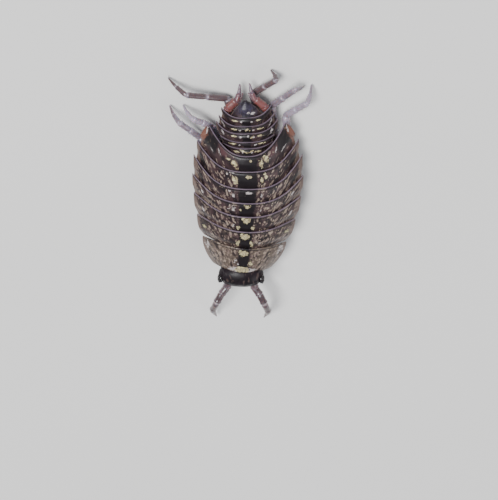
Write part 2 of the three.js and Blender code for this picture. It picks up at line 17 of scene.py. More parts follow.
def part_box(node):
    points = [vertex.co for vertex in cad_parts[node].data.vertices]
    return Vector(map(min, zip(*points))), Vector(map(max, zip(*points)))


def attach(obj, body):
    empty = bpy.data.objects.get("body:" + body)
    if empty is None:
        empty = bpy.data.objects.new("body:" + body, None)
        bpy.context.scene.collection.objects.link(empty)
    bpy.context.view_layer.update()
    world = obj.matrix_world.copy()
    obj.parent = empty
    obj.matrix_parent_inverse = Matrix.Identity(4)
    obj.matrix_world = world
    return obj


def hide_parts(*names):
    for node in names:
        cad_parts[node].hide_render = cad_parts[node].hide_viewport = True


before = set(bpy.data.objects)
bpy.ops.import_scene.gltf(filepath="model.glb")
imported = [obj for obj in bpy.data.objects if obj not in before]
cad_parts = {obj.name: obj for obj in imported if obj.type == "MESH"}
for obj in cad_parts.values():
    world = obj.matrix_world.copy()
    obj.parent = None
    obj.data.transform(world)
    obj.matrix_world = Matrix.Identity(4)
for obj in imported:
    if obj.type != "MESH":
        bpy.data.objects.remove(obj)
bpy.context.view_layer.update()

LOG = logging.getLogger("woodlouse")
MM = 0.001
FRAME_WIDTH, FRAME_HEIGHT = 498, 500

Array = np.ndarray
Place = tuple[float, float, float]
Colour = tuple[float, float, float, float]
Tree, Node, Socket = bpy.types.NodeTree, bpy.types.Node, bpy.types.NodeSocket
Piece, Material = bpy.types.Object, bpy.types.Material
Looks = dict[str, Material]


class Side(Enum):
    """The two sides of the animal, seen from its tail."""

    LEFT = -1
    RIGHT = 1

    @property
    def label(self) -> str:
        """The side's word in names."""
        return self.name.lower()


def smooth(x: Array | float, low: Array | float, high: Array | float) -> Array:
    """Smooth step of x from 0 at low to 1 at high."""
    t = np.clip((np.asarray(x, float) - low) / (high - low), 0, 1)
    return t * t * (3 - 2 * t)


def mix(a: Array | float, b: Array | float, t: Array | float) -> Array | float:
    """Blend of a and b by t."""
    return a + (b - a) * t


def ridge(value: Array, place: float, width: float) -> Array:
    """A rounded ridge of height 1 where the value passes a place."""
    return np.exp(-(((value - place) / width) ** 2))


def unit(v: Array) -> Array:
    """Vectors of length one along the last axis."""
    return v / np.maximum(np.linalg.norm(v, axis=-1, keepdims=True), 1e-9)


def srgb(red: int, green: int, blue: int) -> Colour:
    """A screen colour of 0 to 255 as a linear colour."""
    parts = [c / 255 for c in (red, green, blue)]
    linear = [c / 12.92 if c <= 0.04045 else ((c + 0.055) / 1.055) ** 2.4 for c in parts]
    return (*linear, 1.0)


def waves(points: Array, seed: int, count: int = 5, pitch: float = 3.0) -> Array:
    """A soft, repeatable waviness between about -1 and 1.

    Args:
        points: places, with any number of coordinates in the last axis.
        seed: fixed seed of the directions and phases.
        count: number of waves that are added.
        pitch: waves per millimetre, roughly.

    Returns:
        One value for each place.
    """
    rng = np.random.default_rng(seed)
    total = np.zeros(points.shape[:-1])
    for _ in range(count):
        direction = rng.normal(size=points.shape[-1])
        direction *= pitch * rng.uniform(0.6, 1.5) * 2 * math.pi / np.linalg.norm(direction)
        total += np.sin(points @ direction + rng.uniform(0, 2 * math.pi))
    return total / count


@dataclass(frozen=True)
class PlateSize:
    """Sizes of one back plate, in millimetres and degrees."""

    name: str
    length: float
    pitch: float
    half_width: float
    arch: float
    set_back: float
    sweep: float
    round: float

    def behind(self, u: Array) -> Array:
        """How far the hind margin lies behind its middle, at u across."""
        return behind(u, self.set_back, self.sweep, self.round)


def behind(u: Array, set_back: float, sweep: float, rounding: float) -> Array:
    """A margin's run: late to turn back, and rounded off at its corners."""
    corner = np.maximum(np.abs(u) - CORNER, 0) / (1 - CORNER)
    return set_back * np.abs(u) ** sweep - rounding * corner**CORNER_POWER


# Where a margin's corner begins and how it rounds, and how much of the sweep the hidden front keeps.
CORNER, CORNER_POWER, REACH = 0.78, 1.5, 0.7
PLATES = [
    PlateSize("pereon_plate_1", 1.6, 12, 1.8, 1.0, -0.36, 2.4, 0.1),
    PlateSize("pereon_plate_2", 1.0, 7, 2.1, 1.12, 0.0, 2.6, 0.1),
    PlateSize("pereon_plate_3", 0.83, 3, 2.27, 1.2, 0.46, 3.2, 0.12),
    PlateSize("pereon_plate_4", 0.72, 0, 2.34, 1.23, 0.84, 3.8, 0.12),
    PlateSize("pereon_plate_5", 0.72, -3, 2.28, 1.23, 1.24, 4.0, 0.12),
    PlateSize("pereon_plate_6", 0.81, -8, 2.13, 1.18, 1.2, 3.6, 0.14),
    PlateSize("pereon_plate_7", 0.7, -14, 1.98, 1.06, 2.15, 2.5, 1.5),
    PlateSize("pleon_plate_1", 0.34, -17, 1.08, 0.58, 0.12, 3.0, 0.0),
    PlateSize("pleon_plate_2", 0.27, -18, 1.13, 0.6, 0.16, 3.5, 0.0),
    PlateSize("pleon_plate_3", 0.37, -19, 1.28, 0.66, 0.42, 4.0, 0.0),
    PlateSize("pleon_plate_4", 0.31, -20, 1.16, 0.62, 0.42, 4.0, 0.0),
    PlateSize("pleon_plate_5", 0.36, -22, 1.04, 0.56, 0.42, 3.4, 0.0),
    PlateSize("telson", 0.74, -27, 0.03, 0.06, 0.0, 2.6, 0.0),
]
HIGHEST, FIRST_PLEON, TELSON = 3, 7, 12
# Half width, arch and set back of the front margins that follow no plate.
FRONT_MARGIN = (1.2, 0.72, -0.34)
PLEON_MARGIN = (1.04, 0.5, 0.0)
TELSON_MARGIN = (0.8, 0.36, 0.12)
BACK_HEIGHT, BOW = 2.3, 0.18
# Thickness of a plate, the space under it and how far it passes under the plate ahead.
PLATE, GAP, OVERLAP = 0.055, 0.03, 0.12
MARGIN_POWER, ARCH_POWER = 2.6, 2.1


class Spine:
    """The line of the back, by distance s from the front of the first plate."""

    def __init__(self) -> None:
        """Works out the line from the plates' lengths and slopes."""
        self.ends = np.cumsum([0.0] + [p.length for p in PLATES])
        self.length = float(self.ends[-1])
        middles = (self.ends[:-1] + self.ends[1:]) / 2
        step, past = 0.01, 1.5
        self.s = np.arange(-past, self.length + past, step)
        self.slope = np.radians(np.interp(self.s, middles, [p.pitch for p in PLATES]))
        y = np.concatenate([[0], np.cumsum(np.cos(self.slope[:-1]) * step)])
        z = np.concatenate([[0], np.cumsum(np.sin(self.slope[:-1]) * step)])
        home = int(round((middles[HIGHEST] + past) / step))
        self.y, self.z = y - y[home], z - z[home] + BACK_HEIGHT

    def frame(self, s: Array | float) -> tuple[Array, Array, Array]:
        """Point, right and up of the back at distance s."""
        s = np.asarray(s, float)
        along = (s - self.length / 2) / (self.length / 2)
        yaw = -2 * BOW * along / (self.length / 2)
        pitch = np.interp(s, self.s, self.slope)
        tangent = unit(np.stack([np.sin(yaw), np.cos(yaw) * np.cos(pitch), np.sin(pitch)], -1))
        right = unit(np.cross(tangent, [0, 0, 1.0]))
        up = np.cross(right, tangent)
        x = BOW * (1 - along * along)
        point = np.stack([x, np.interp(s, self.s, self.y), np.interp(s, self.s, self.z)], -1)
        return point, right, up

    def place(self, s: Array | float, across: Array | float, depth: Array | float) -> Array:
        """The point at s, across from the middle line and depth under it."""
        point, right, up = self.frame(s)
        across, depth = np.asarray(across, float), np.asarray(depth, float)
        return point + right * across[..., None] - up * depth[..., None]


SPINE = Spine()
# From the animal's own frame to the shared one, set once by settle_offset.
OFFSET = np.zeros(3)


class Nodes:
    """Adds nodes to a tree and links them, with short calls."""

    def __init__(self, tree: Tree) -> None:
        """Keeps the tree."""
        self.tree = tree

    def add(self, kind: str, inputs: dict | None = None, **settings: object) -> Node:
        """Adds one node.

        Args:
            kind: the node's type name.
            inputs: socket name or index to a value or an output socket.
            settings: attributes of the node.

        Returns:
            The new node.
        """
        node = self.tree.nodes.new(kind)
        for name, value in settings.items():
            setattr(node, name, value)
        for key, value in (inputs or {}).items():
            self.put(node.inputs[key], value)
        return node

    def put(self, socket: Socket, value: object) -> None:
        """Links a socket or sets its value."""
        if isinstance(value, Socket):
            self.tree.links.new(value, socket)
        else:
            socket.default_value = value

    def math(self, operation: str, a: object, b: object = 0.0) -> Socket:
        """One sum of two values."""
        return self.add("ShaderNodeMath", {0: a, 1: b}, operation=operation).outputs[0]

    def vector(self, operation: str, *values: object) -> Socket:
        """One sum of vectors."""
        return self.add("ShaderNodeVectorMath", dict(enumerate(values)), operation=operation).outputs[0]

    def times(self, a: object, b: object) -> Socket:
        """The product of two values."""
        return self.math("MULTIPLY", a, b)

    def ramp(self, value: object, low: float, high: float, top: float = 1.0) -> Socket:
        """Smooth step of a value from 0 at low to top at high."""
        inputs = {"Value": value, "From Min": low, "From Max": high, "To Max": top}
        return self.add("ShaderNodeMapRange", inputs, interpolation_type="SMOOTHSTEP").outputs[0]

    def blend(self, factor: object, a: object, b: object) -> Socket:
        """Mixed colour of a and b."""
        node = self.add("ShaderNodeMix", data_type="RGBA")
        for index, value in ((0, factor), (6, a), (7, b)):
            self.put(node.inputs[index], value)
        return node.outputs[2]

    def attribute(self, name: str) -> Socket:
        """A number stored on the piece's points."""
        return self.add("ShaderNodeAttribute", attribute_name=name).outputs["Fac"]

    def scaled(self, vector: object, scale: Place) -> Socket:
        """A vector scaled on each axis."""
        return self.add("ShaderNodeMapping", {"Vector": vector, "Scale": scale}).outputs[0]

    def noise(self, vector: object, scale: float, detail: float = 3.0, warp: float = 0.0) -> Socket:
        """Soft noise of about 0 to 1."""
        inputs = {"Vector": vector, "Scale": scale, "Detail": detail, "Distortion": warp}
        return self.add("ShaderNodeTexNoise", inputs).outputs["Fac"]


def shader_group(name: str, inputs: dict[str, object], outputs: dict[str, str]) -> tuple[Nodes, Node]:
    """A new shader node group with named sockets.

    Args:
        name: the group's name.
        inputs: socket name to its default; a tuple of three is a vector.
        outputs: socket name to its type, without the words that all types share.

    Returns:
        The group's node helper and its input node.
    """
    group = bpy.data.node_groups.new(name, "ShaderNodeTree")
    for label, default in inputs.items():
        kind = "NodeSocketVector" if isinstance(default, tuple) else "NodeSocketFloat"
        socket = group.interface.new_socket(label, in_out="INPUT", socket_type=kind)
        socket.default_value = default
    for label, kind in outputs.items():
        group.interface.new_socket(label, in_out="OUTPUT", socket_type="NodeSocket" + kind)
    nodes = Nodes(group)
    return nodes, nodes.add("NodeGroupInput")


def cuticle_group() -> Tree:
    """Fine relief and wear of horny cuticle: a normal and a mask of dull places."""
    inputs = {"Vector": (0.0, 0.0, 0.0), "Grain": 1.0, "Strength": 0.4, "Distance": 0.01 * MM}
    nodes, entry = shader_group("cuticle", inputs, {"Normal": "Vector", "Dull": "Float"})
    vector = nodes.add("ShaderNodeVectorMath", {0: entry.outputs["Vector"]}, operation="SCALE")
    nodes.put(vector.inputs["Scale"], entry.outputs["Grain"])
    lumps = nodes.noise(vector.outputs[0], 3.5 / MM, 4.0, 0.4)
    cells = {"Vector": vector.outputs[0], "Scale": 22 / MM}
    pits = nodes.add("ShaderNodeTexVoronoi", cells, feature="SMOOTH_F1")
    relief = {"Height": nodes.math("ADD", lumps, nodes.times(pits.outputs["Distance"], 0.35))}
    relief |= {name: entry.outputs[name] for name in ("Strength", "Distance")}
    bump = nodes.add("ShaderNodeBump", relief)
    nodes.add("NodeGroupOutput", {"Normal": bump.outputs[0], "Dull": nodes.ramp(lumps, 0.35, 0.7)})
    return nodes.tree


# Strokes of the mottle: cells per unit on each axis, least size and how much the sizes differ.
COARSE_STROKES = (5.6, 2.4, 1.0), -0.2, 0.5
FINE_STROKES = (9.4, 4.6, 1.0), -0.1, 0.46
DARK_GAPS = (4.8, 2.0, 2.0), -0.1, 0.5
ROUND_DOTS = (8.0, 8.0, 1.0), -0.45, 0.6
# How far noise of a scale bends the strokes.
DRIFT_SCALE, DRIFT = 3.2, (0.28, 0.28, 0.0)


def mottle_group() -> Tree:
    """Strokes, dark gaps and dots, as the muscle marks under the back's skin."""
    inputs = {"Vector": (0.0, 0.0, 0.0), "Amount": 0.5, "Seed": 0.0}
    outputs = {name: "Float" for name in ("Streaks", "Gaps", "Dots", "Cloud")}
    nodes, entry = shader_group("mottle", inputs, outputs)
    shift = nodes.add("ShaderNodeCombineXYZ", {0: entry.outputs["Seed"], 2: entry.outputs["Seed"]}).outputs[0]
    place = nodes.vector("ADD", entry.outputs["Vector"], shift)
    drift = nodes.add("ShaderNodeTexNoise", {"Vector": place, "Scale": DRIFT_SCALE, "Detail": 2.0})
    bend = nodes.vector("SUBTRACT", drift.outputs["Color"], (0.5, 0.5, 0.5))
    pushed = nodes.vector("MULTIPLY_ADD", bend, DRIFT, place)

    def strokes(scale: Place, low: float, spread: float) -> Socket:
        """Long drops, one in most cells, each of its own size."""
        vector = nodes.scaled(pushed, scale)
        cells = nodes.add("ShaderNodeTexVoronoi", {"Vector": vector, "Scale": 1.0, "Randomness": 1.0})
        parts = nodes.add("ShaderNodeSeparateColor", {0: cells.outputs["Color"]})
        chosen = nodes.math("ADD", nodes.times(parts.outputs[0], spread), low)
        grown = nodes.math("ADD", chosen, nodes.times(entry.outputs["Amount"], 0.3))
        return nodes.ramp(nodes.math("SUBTRACT", grown, cells.outputs["Distance"]), 0.0, 0.14)

    leave = {
        "Streaks": nodes.math("MAXIMUM", strokes(*COARSE_STROKES), strokes(*FINE_STROKES)),
        "Gaps": strokes(*DARK_GAPS),
        "Dots": strokes(*ROUND_DOTS),
        "Cloud": nodes.noise(place, 2.2, 3.0, 0.6),
    }
    nodes.add("NodeGroupOutput", leave)
    return nodes.tree


@dataclass(frozen=True)
class Gloss:
    """How a finish shines: relief (grain, strength, distance), roughness and coat."""

    relief: Place = (1.0, 0.3, 0.01)
    rough: tuple[float, float] = (0.3, 0.5)
    coat: float = 0.2
    coat_rough: float = 0.1
    index: float = 1.5


@dataclass(frozen=True)
class LimbFinish:
    """Colours of a jointed limb: where its tone is low, high and at its joints."""

    pale: Colour
    dark: Colour
    joint: Colour


@dataclass(frozen=True)
class PlainFinish:
    """Two clouded colours, the cloud's scale and the shine."""

    first: Colour
    second: Colour
    cloud: float
    gloss: Gloss


SHELL_GLOSS = Gloss((1.0, 0.4, 0.012), (0.38, 0.55), 0.08, 0.16, 1.33)
HEAD_GLOSS = Gloss((1.2, 0.4, 0.012), (0.32, 0.5), 0.04, 0.2, 1.26)
BELLY_GLOSS = Gloss((1.0, 0.25, 0.01), (0.35, 0.55))
LIMB_GLOSS = Gloss((1.6, 0.3, 0.008), (0.26, 0.42), 0.3, 0.15)
LIMBS = {
    "legs": LimbFinish(srgb(156, 145, 161), srgb(84, 67, 70), srgb(176, 166, 180)),
    "feelers": LimbFinish(srgb(140, 120, 128), srgb(62, 46, 50), srgb(178, 164, 170)),
    "uropods": LimbFinish(srgb(92, 80, 98), srgb(112, 66, 64), srgb(104, 82, 92)),
}
PLAINS = {
    "eyes": PlainFinish(srgb(8, 7, 9), srgb(28, 20, 22), 12.0, Gloss((1.0, 0.1, 0.01), (0.22, 0.32), 0.15)),
    "belly": PlainFinish(srgb(172, 152, 148), srgb(204, 190, 184), 3.0, BELLY_GLOSS),
    "bristles": PlainFinish(srgb(96, 74, 62), srgb(150, 128, 112), 20.0, Gloss(rough=(0.35, 0.5))),
}
SHELL_GROUND = srgb(27, 19, 22), srgb(60, 44, 45)
STREAK, FLECK = srgb(112, 94, 89), srgb(154, 138, 121)
CREAM, DULL_CREAM = srgb(198, 191, 148), srgb(146, 132, 100)
HEAD_GROUND = srgb(17, 12, 16), srgb(30, 22, 27)
HEAD_MARK, FACE = srgb(84, 68, 64), srgb(66, 54, 60)
# Each painted mark: where its edge begins and ends, how strong and how ragged it is, its colour.
PAINTS = {
    "Red": (0.3, 0.7, 0.8, 0.5, srgb(76, 50, 52)),
    "Tan": (0.2, 0.85, 0.85, 0.7, srgb(99, 86, 75)),
    "Border": (0.25, 0.8, 0.75, 1.2, srgb(104, 86, 78)),
    "Dark": (0.4, 0.66, 0.94, 0.75, srgb(17, 12, 15)),
    "Violet": (0.3, 1.0, 0.8, 0.8, srgb(58, 52, 72)),
    "Rust": (0.35, 0.85, 0.85, 1.1, srgb(118, 76, 62)),
    # This paint lays real pale streaks and dots, and also painted highlights: glints and soft sheen on the
    # back.
    "Pale": (0.4, 0.62, 0.88, 1.0, srgb(176, 168, 166)),
    "Cream": (0.4, 0.55, 1.0, 1.0, CREAM),
    "Rim": (0.35, 0.75, 0.9, 0.7, srgb(108, 94, 107)),
}


class Finishes:
    """The materials, each made once and kept by its name."""

    def __init__(self) -> None:
        """Builds the shared groups and the materials."""
        self.cuticle = cuticle_group()
        self.mottle = mottle_group()
        self.made: Looks = {}
        for name, seed in (("shell", 0.0), ("tail_shell", 4.0)):
            self.make_shell(name, seed)
        self.make_head()
        for name, look in LIMBS.items():
            self.make_limb(name, look)
        for name, plain in PLAINS.items():
            self.make_plain(name, plain)

    def start(self, name: str) -> tuple[Nodes, Socket]:
        """A new empty material: its node helper and its Object coordinates."""
        material = bpy.data.materials.new(name)
        material.use_nodes = True
        material.node_tree.nodes.clear()
        self.made[name] = material
        nodes = Nodes(material.node_tree)
        return nodes, nodes.add("ShaderNodeTexCoord").outputs["Object"]

    def close(self, nodes: Nodes, place: Socket, colour: Socket, gloss: Gloss, **soft: float) -> None:
        """Adds the shader, its relief and the output.

        Args:
            nodes: the material's node helper.
            place: its Object coordinates.
            colour: its base colour.
            gloss: its relief and shine.
            soft: weight and scale of light inside it.
        """
        grain, strength, distance = gloss.relief
        relief = nodes.add("ShaderNodeGroup", node_tree=self.cuticle)
        values = {"Vector": place, "Grain": grain, "Strength": strength, "Distance": distance * MM}
        for key, value in values.items():
            nodes.put(relief.inputs[key], value)
        low, high = gloss.rough
        span = {"Value": relief.outputs["Dull"], "To Min": low, "To Max": high}
        rough = nodes.add("ShaderNodeMapRange", span)
        shader = nodes.add("ShaderNodeBsdfPrincipled", {
            "Base Color": colour,
            "Roughness": rough.outputs[0],
            "Normal": relief.outputs["Normal"],
            "IOR": gloss.index,
            "Coat Weight": gloss.coat,
            "Coat Roughness": gloss.coat_rough,
        })
        for key, value in soft.items():
            shader.inputs[f"Subsurface {key.capitalize()}"].default_value = value
        nodes.add("ShaderNodeOutputMaterial", {"Surface": shader.outputs[0]})

    def mottled(self, nodes: Nodes, vector: Socket, amount: object, seed: object) -> Node:
        """The mottle group over a vector."""
        group = nodes.add("ShaderNodeGroup", node_tree=self.mottle)
        for key, value in (("Vector", vector), ("Amount", amount), ("Seed", seed)):
            nodes.put(group.inputs[key], value)
        return group

    def make_shell(self, name: str, seed: float) -> None:
        """The back plates: dark stripe, cream marks, streaked sides, pale rims, and painted glints and sheen.
        """
        nodes, place = self.start(name)
        flow = nodes.add("ShaderNodeUVMap", uv_map="Flow").outputs[0]
        number = nodes.math("ADD", nodes.attribute("Plate_number"), seed)
        mottle = self.mottled(nodes, flow, nodes.attribute("Streaky"), number)
        plate = nodes.add("ShaderNodeUVMap", uv_map="Plate").outputs[0]
        fray = nodes.math("SUBTRACT", nodes.noise(plate, 8.0, 3.0, 0.8), 0.5)
        fine = nodes.math("SUBTRACT", nodes.noise(plate, 24.0, 2.0), 0.5)
        ragged = nodes.math("ADD", nodes.times(fray, 1.5), nodes.times(fine, 0.9))
        holes = nodes.ramp(nodes.noise(plate, 11.0, 1.0), 0.34, 0.44)
        cream = nodes.blend(nodes.ramp(ragged, -0.1, 0.25), DULL_CREAM, CREAM)
        flank = nodes.attribute("Flank")

        def painted(colour: Socket, *names: str) -> Socket:
            """The colour under ragged marks; the pale ones have holes."""
            for label in names:
                low, high, top, wear, paint = PAINTS[label]
                height = nodes.math("ADD", nodes.attribute(label), nodes.times(ragged, wear))
                cover = nodes.ramp(height, low, high, top)
                if label in ("Pale", "Cream"):
                    cover = nodes.times(cover, holes)
                colour = nodes.blend(cover, colour, cream if label == "Cream" else paint)
            return colour

        def strewn(colour: Socket, kind: str, where: Socket, share: float, paint: object) -> Socket:
            """The colour under one kind of the mottle's strokes."""
            cover = nodes.times(nodes.times(mottle.outputs[kind], where), share)
            return nodes.blend(cover, colour, paint)

        colour = nodes.blend(nodes.ramp(mottle.outputs["Cloud"], 0.36, 0.64), *SHELL_GROUND)
        colour = painted(colour, "Red", "Tan")
        colour = strewn(colour, "Gaps", flank, 0.8, SHELL_GROUND[0])
        streak = nodes.blend(nodes.ramp(fray, -0.12, 0.15), STREAK, FLECK)
        colour = strewn(colour, "Streaks", flank, 0.85, streak)
        colour = strewn(colour, "Dots", nodes.attribute("Speckle"), 0.8, FLECK)
        # The pale paint here is partly real pale marks and partly painted glints and sheen.
        colour = painted(colour, "Border", "Dark", "Violet", "Rust", "Pale", "Cream", "Rim")
        self.close(nodes, place, colour, SHELL_GLOSS)

    def make_head(self) -> None:
        """The head: nearly black with faint wormy marks on the crown."""
        nodes, place = self.start("head_shell")
        mottle = self.mottled(nodes, nodes.scaled(place, (1 / MM, 0.7 / MM, 1 / MM)), 0.35, 0.0)
        colour = nodes.blend(nodes.ramp(mottle.outputs["Cloud"], 0.35, 0.7), *HEAD_GROUND)
        marks = nodes.times(mottle.outputs["Streaks"], nodes.attribute("Crown"))
        colour = nodes.blend(nodes.times(marks, 0.55), colour, HEAD_MARK)
        colour = nodes.blend(nodes.ramp(nodes.attribute("Face"), 0.3, 0.9, 0.7), colour, FACE)
        self.close(nodes, place, colour, HEAD_GLOSS)

    def make_limb(self, name: str, look: LimbFinish) -> None:
        """Thin cuticle of a jointed limb, darker where Tone says and pale at its joints."""
        nodes, place = self.start(name)
        cloud = nodes.noise(nodes.scaled(place, (1 / MM,) * 3), 4.0, 4.0, 0.8)
        tone = nodes.math("ADD", nodes.attribute("Tone"), nodes.math("SUBTRACT", cloud, 0.5))
        colour = nodes.blend(nodes.ramp(tone, 0.0, 1.0), look.pale, look.dark)
        colour = nodes.blend(nodes.times(nodes.attribute("Joint"), 0.55), colour, look.joint)
        self.close(nodes, place, colour, LIMB_GLOSS, weight=0.25, scale=0.1 * MM)

    def make_plain(self, name: str, look: PlainFinish) -> None:
        """A finish of two clouded colours over the cuticle's relief."""
        nodes, place = self.start(name)
        cloud = nodes.noise(nodes.scaled(place, (1 / MM,) * 3), look.cloud, 3.0, 0.5)
        colour = nodes.blend(nodes.ramp(cloud, 0.35, 0.7), look.first, look.second)
        self.close(nodes, place, colour, look.gloss)


def link(name: str, data: object) -> Piece:
    """A new object with this data, in the scene."""
    piece = bpy.data.objects.new(name, data)
    bpy.context.scene.collection.objects.link(piece)
    return piece


@dataclass
class Skin:
    """A surface before it becomes an object: points in millimetres and faces."""

    points: Array
    faces: list[tuple[int, ...]]
    values: dict[str, Array] = field(default_factory=dict)
    maps: dict[str, Array] = field(default_factory=dict)

    @staticmethod
    def joined(skins: "list[Skin]") -> "Skin":
        """All the skins as one."""
        points, faces, start = [], [], 0
        for skin in skins:
            points.append(skin.points)
            faces += [tuple(i + start for i in face) for face in skin.faces]
            start += len(skin.points)
        names = skins[0].values.keys()
        values = {name: np.concatenate([s.values[name] for s in skins]) for name in names}
        return Skin(np.concatenate(points), faces, values)

    def to_object(self, name: str, material: Material) -> Piece:
        """Makes the object, in metres at the origin of the shared frame.

        Args:
            name: the piece's name.
            material: its finish.

        Returns:
            The new object, linked to the scene.
        """
        mesh = bpy.data.meshes.new(name)
        places = (self.points + OFFSET) * MM
        faces = self.faces
        if self.volume() < 0:
            faces = [tuple(reversed(face)) for face in faces]
        mesh.from_pydata(places.tolist(), [], faces)
        mesh.polygons.foreach_set("use_smooth", [True] * len(faces))
        for label, numbers in self.values.items():
            layer = mesh.attributes.new(label, "FLOAT", "POINT")
            layer.data.foreach_set("value", np.ascontiguousarray(numbers, dtype=np.float32))
        index = np.empty(len(mesh.loops), dtype=np.int32)
        mesh.loops.foreach_get("vertex_index", index)
        for label, places_on_map in self.maps.items():
            layer = mesh.uv_layers.new(name=label)
            layer.data.foreach_set("uv", places_on_map[index].astype(np.float32).ravel())
        mesh.materials.append(material)
        mesh.update()
        return link(name, mesh)

    def volume(self) -> float:
        """Signed volume, positive where the faces point out."""
        total = 0.0
        for size in (3, 4):
            picked = np.array([f for f in self.faces if len(f) == size], dtype=int)
            if not len(picked):
                continue
            a = self.points[picked[:, 0]]
            for k in range(1, size - 1):
                b, c = self.points[picked[:, k]], self.points[picked[:, k + 1]]
                total += float(np.einsum("ij,ij->", a, np.cross(b, c)))
        return total


def grid_faces(rows: int, columns: int, start: int = 0, loop: bool = False) -> list[tuple[int, ...]]:
    """Quads of a grid, closed round its columns if loop is true."""
    faces = []
    for r in range(rows - 1):
        for c in range(columns if loop else columns - 1):
            d = (c + 1) % columns
            a, b = start + r * columns, start + (r + 1) * columns
            faces.append((a + c, a + d, b + d, b + c))
    return faces


def slab(outer: Array, inner: Array) -> Skin:
    """A closed slab between two grids of points."""
    rows, columns = outer.shape[:2]
    shift = rows * columns
    faces = grid_faces(rows, columns)
    faces += [tuple(reversed(face)) for face in grid_faces(rows, columns, shift)]
    at = np.arange(shift).reshape(rows, columns)
    border = [*at[0], *at[1:, -1], *at[-1, -2::-1], *at[-2:0:-1, 0]]
    for a, b in zip(border, [*border[1:], border[0]]):
        faces.append((int(b), int(a), int(a) + shift, int(b) + shift))
    return Skin(np.concatenate([outer.reshape(-1, 3), inner.reshape(-1, 3)]), faces)


def tube(rings: Array) -> Skin:
    """A closed body over rings of points, shape (rings, sides, 3)."""
    count, sides = rings.shape[:2]
    points = np.concatenate([rings.reshape(-1, 3), rings[:1].mean(1), rings[-1:].mean(1)])
    faces = grid_faces(count, sides, loop=True)
    first, last, end = count * sides, count * sides + 1, (count - 1) * sides
    for c in range(sides):
        d = (c + 1) % sides
        faces.append((first, d, c))
        faces.append((last, end + c, end + d))
    return Skin(points, faces)


def keep(piece: Piece, node: str) -> None:
    """Lets a piece ride on the body and stand for a node."""
    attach(piece, "root")
    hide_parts(node)
    LOG.info("%s: %d faces", piece.name, len(piece.data.polygons))


class Mark(Enum):
    """Kinds of mark on the back, by the value that they add to."""

    CREAM = "Cream"
    # Pale marks are partly real pale streaks and dots and partly painted glints and sheen.
    PALE = "Pale"
    DARK = "Dark"
    RUST = "Rust"
    RED = "Red"
    VIOLET = "Violet"


@dataclass(frozen=True)
class Spot:
    """One mark on one plate: millimetres from the middle and ahead of the hind margin."""

    plate: int
    across: float
    ahead: float
    wide: float
    long: float
    lean: float = 0.0
    strength: float = 1.0
    heart: float = 0.0

    def mirrored(self) -> "Spot":
        """The same mark on the other side."""
        return replace(self, across=-self.across, lean=-self.lean)

    def value(self, across: Array, ahead: Array) -> Array:
        """Height of the mark, 1 at its middle and about a half at its edge."""
        x, y = across - self.across, ahead - self.ahead
        c, s = math.cos(self.lean), math.sin(self.lean)
        a, b = (c * x + s * y) / self.wide, (-s * x + c * y) / self.long
        b = b + self.heart * (0.75 * np.abs(a) ** 1.2 - 0.25)
        return self.strength * np.exp(-0.7 * (a * a + b * b) ** 1.4)


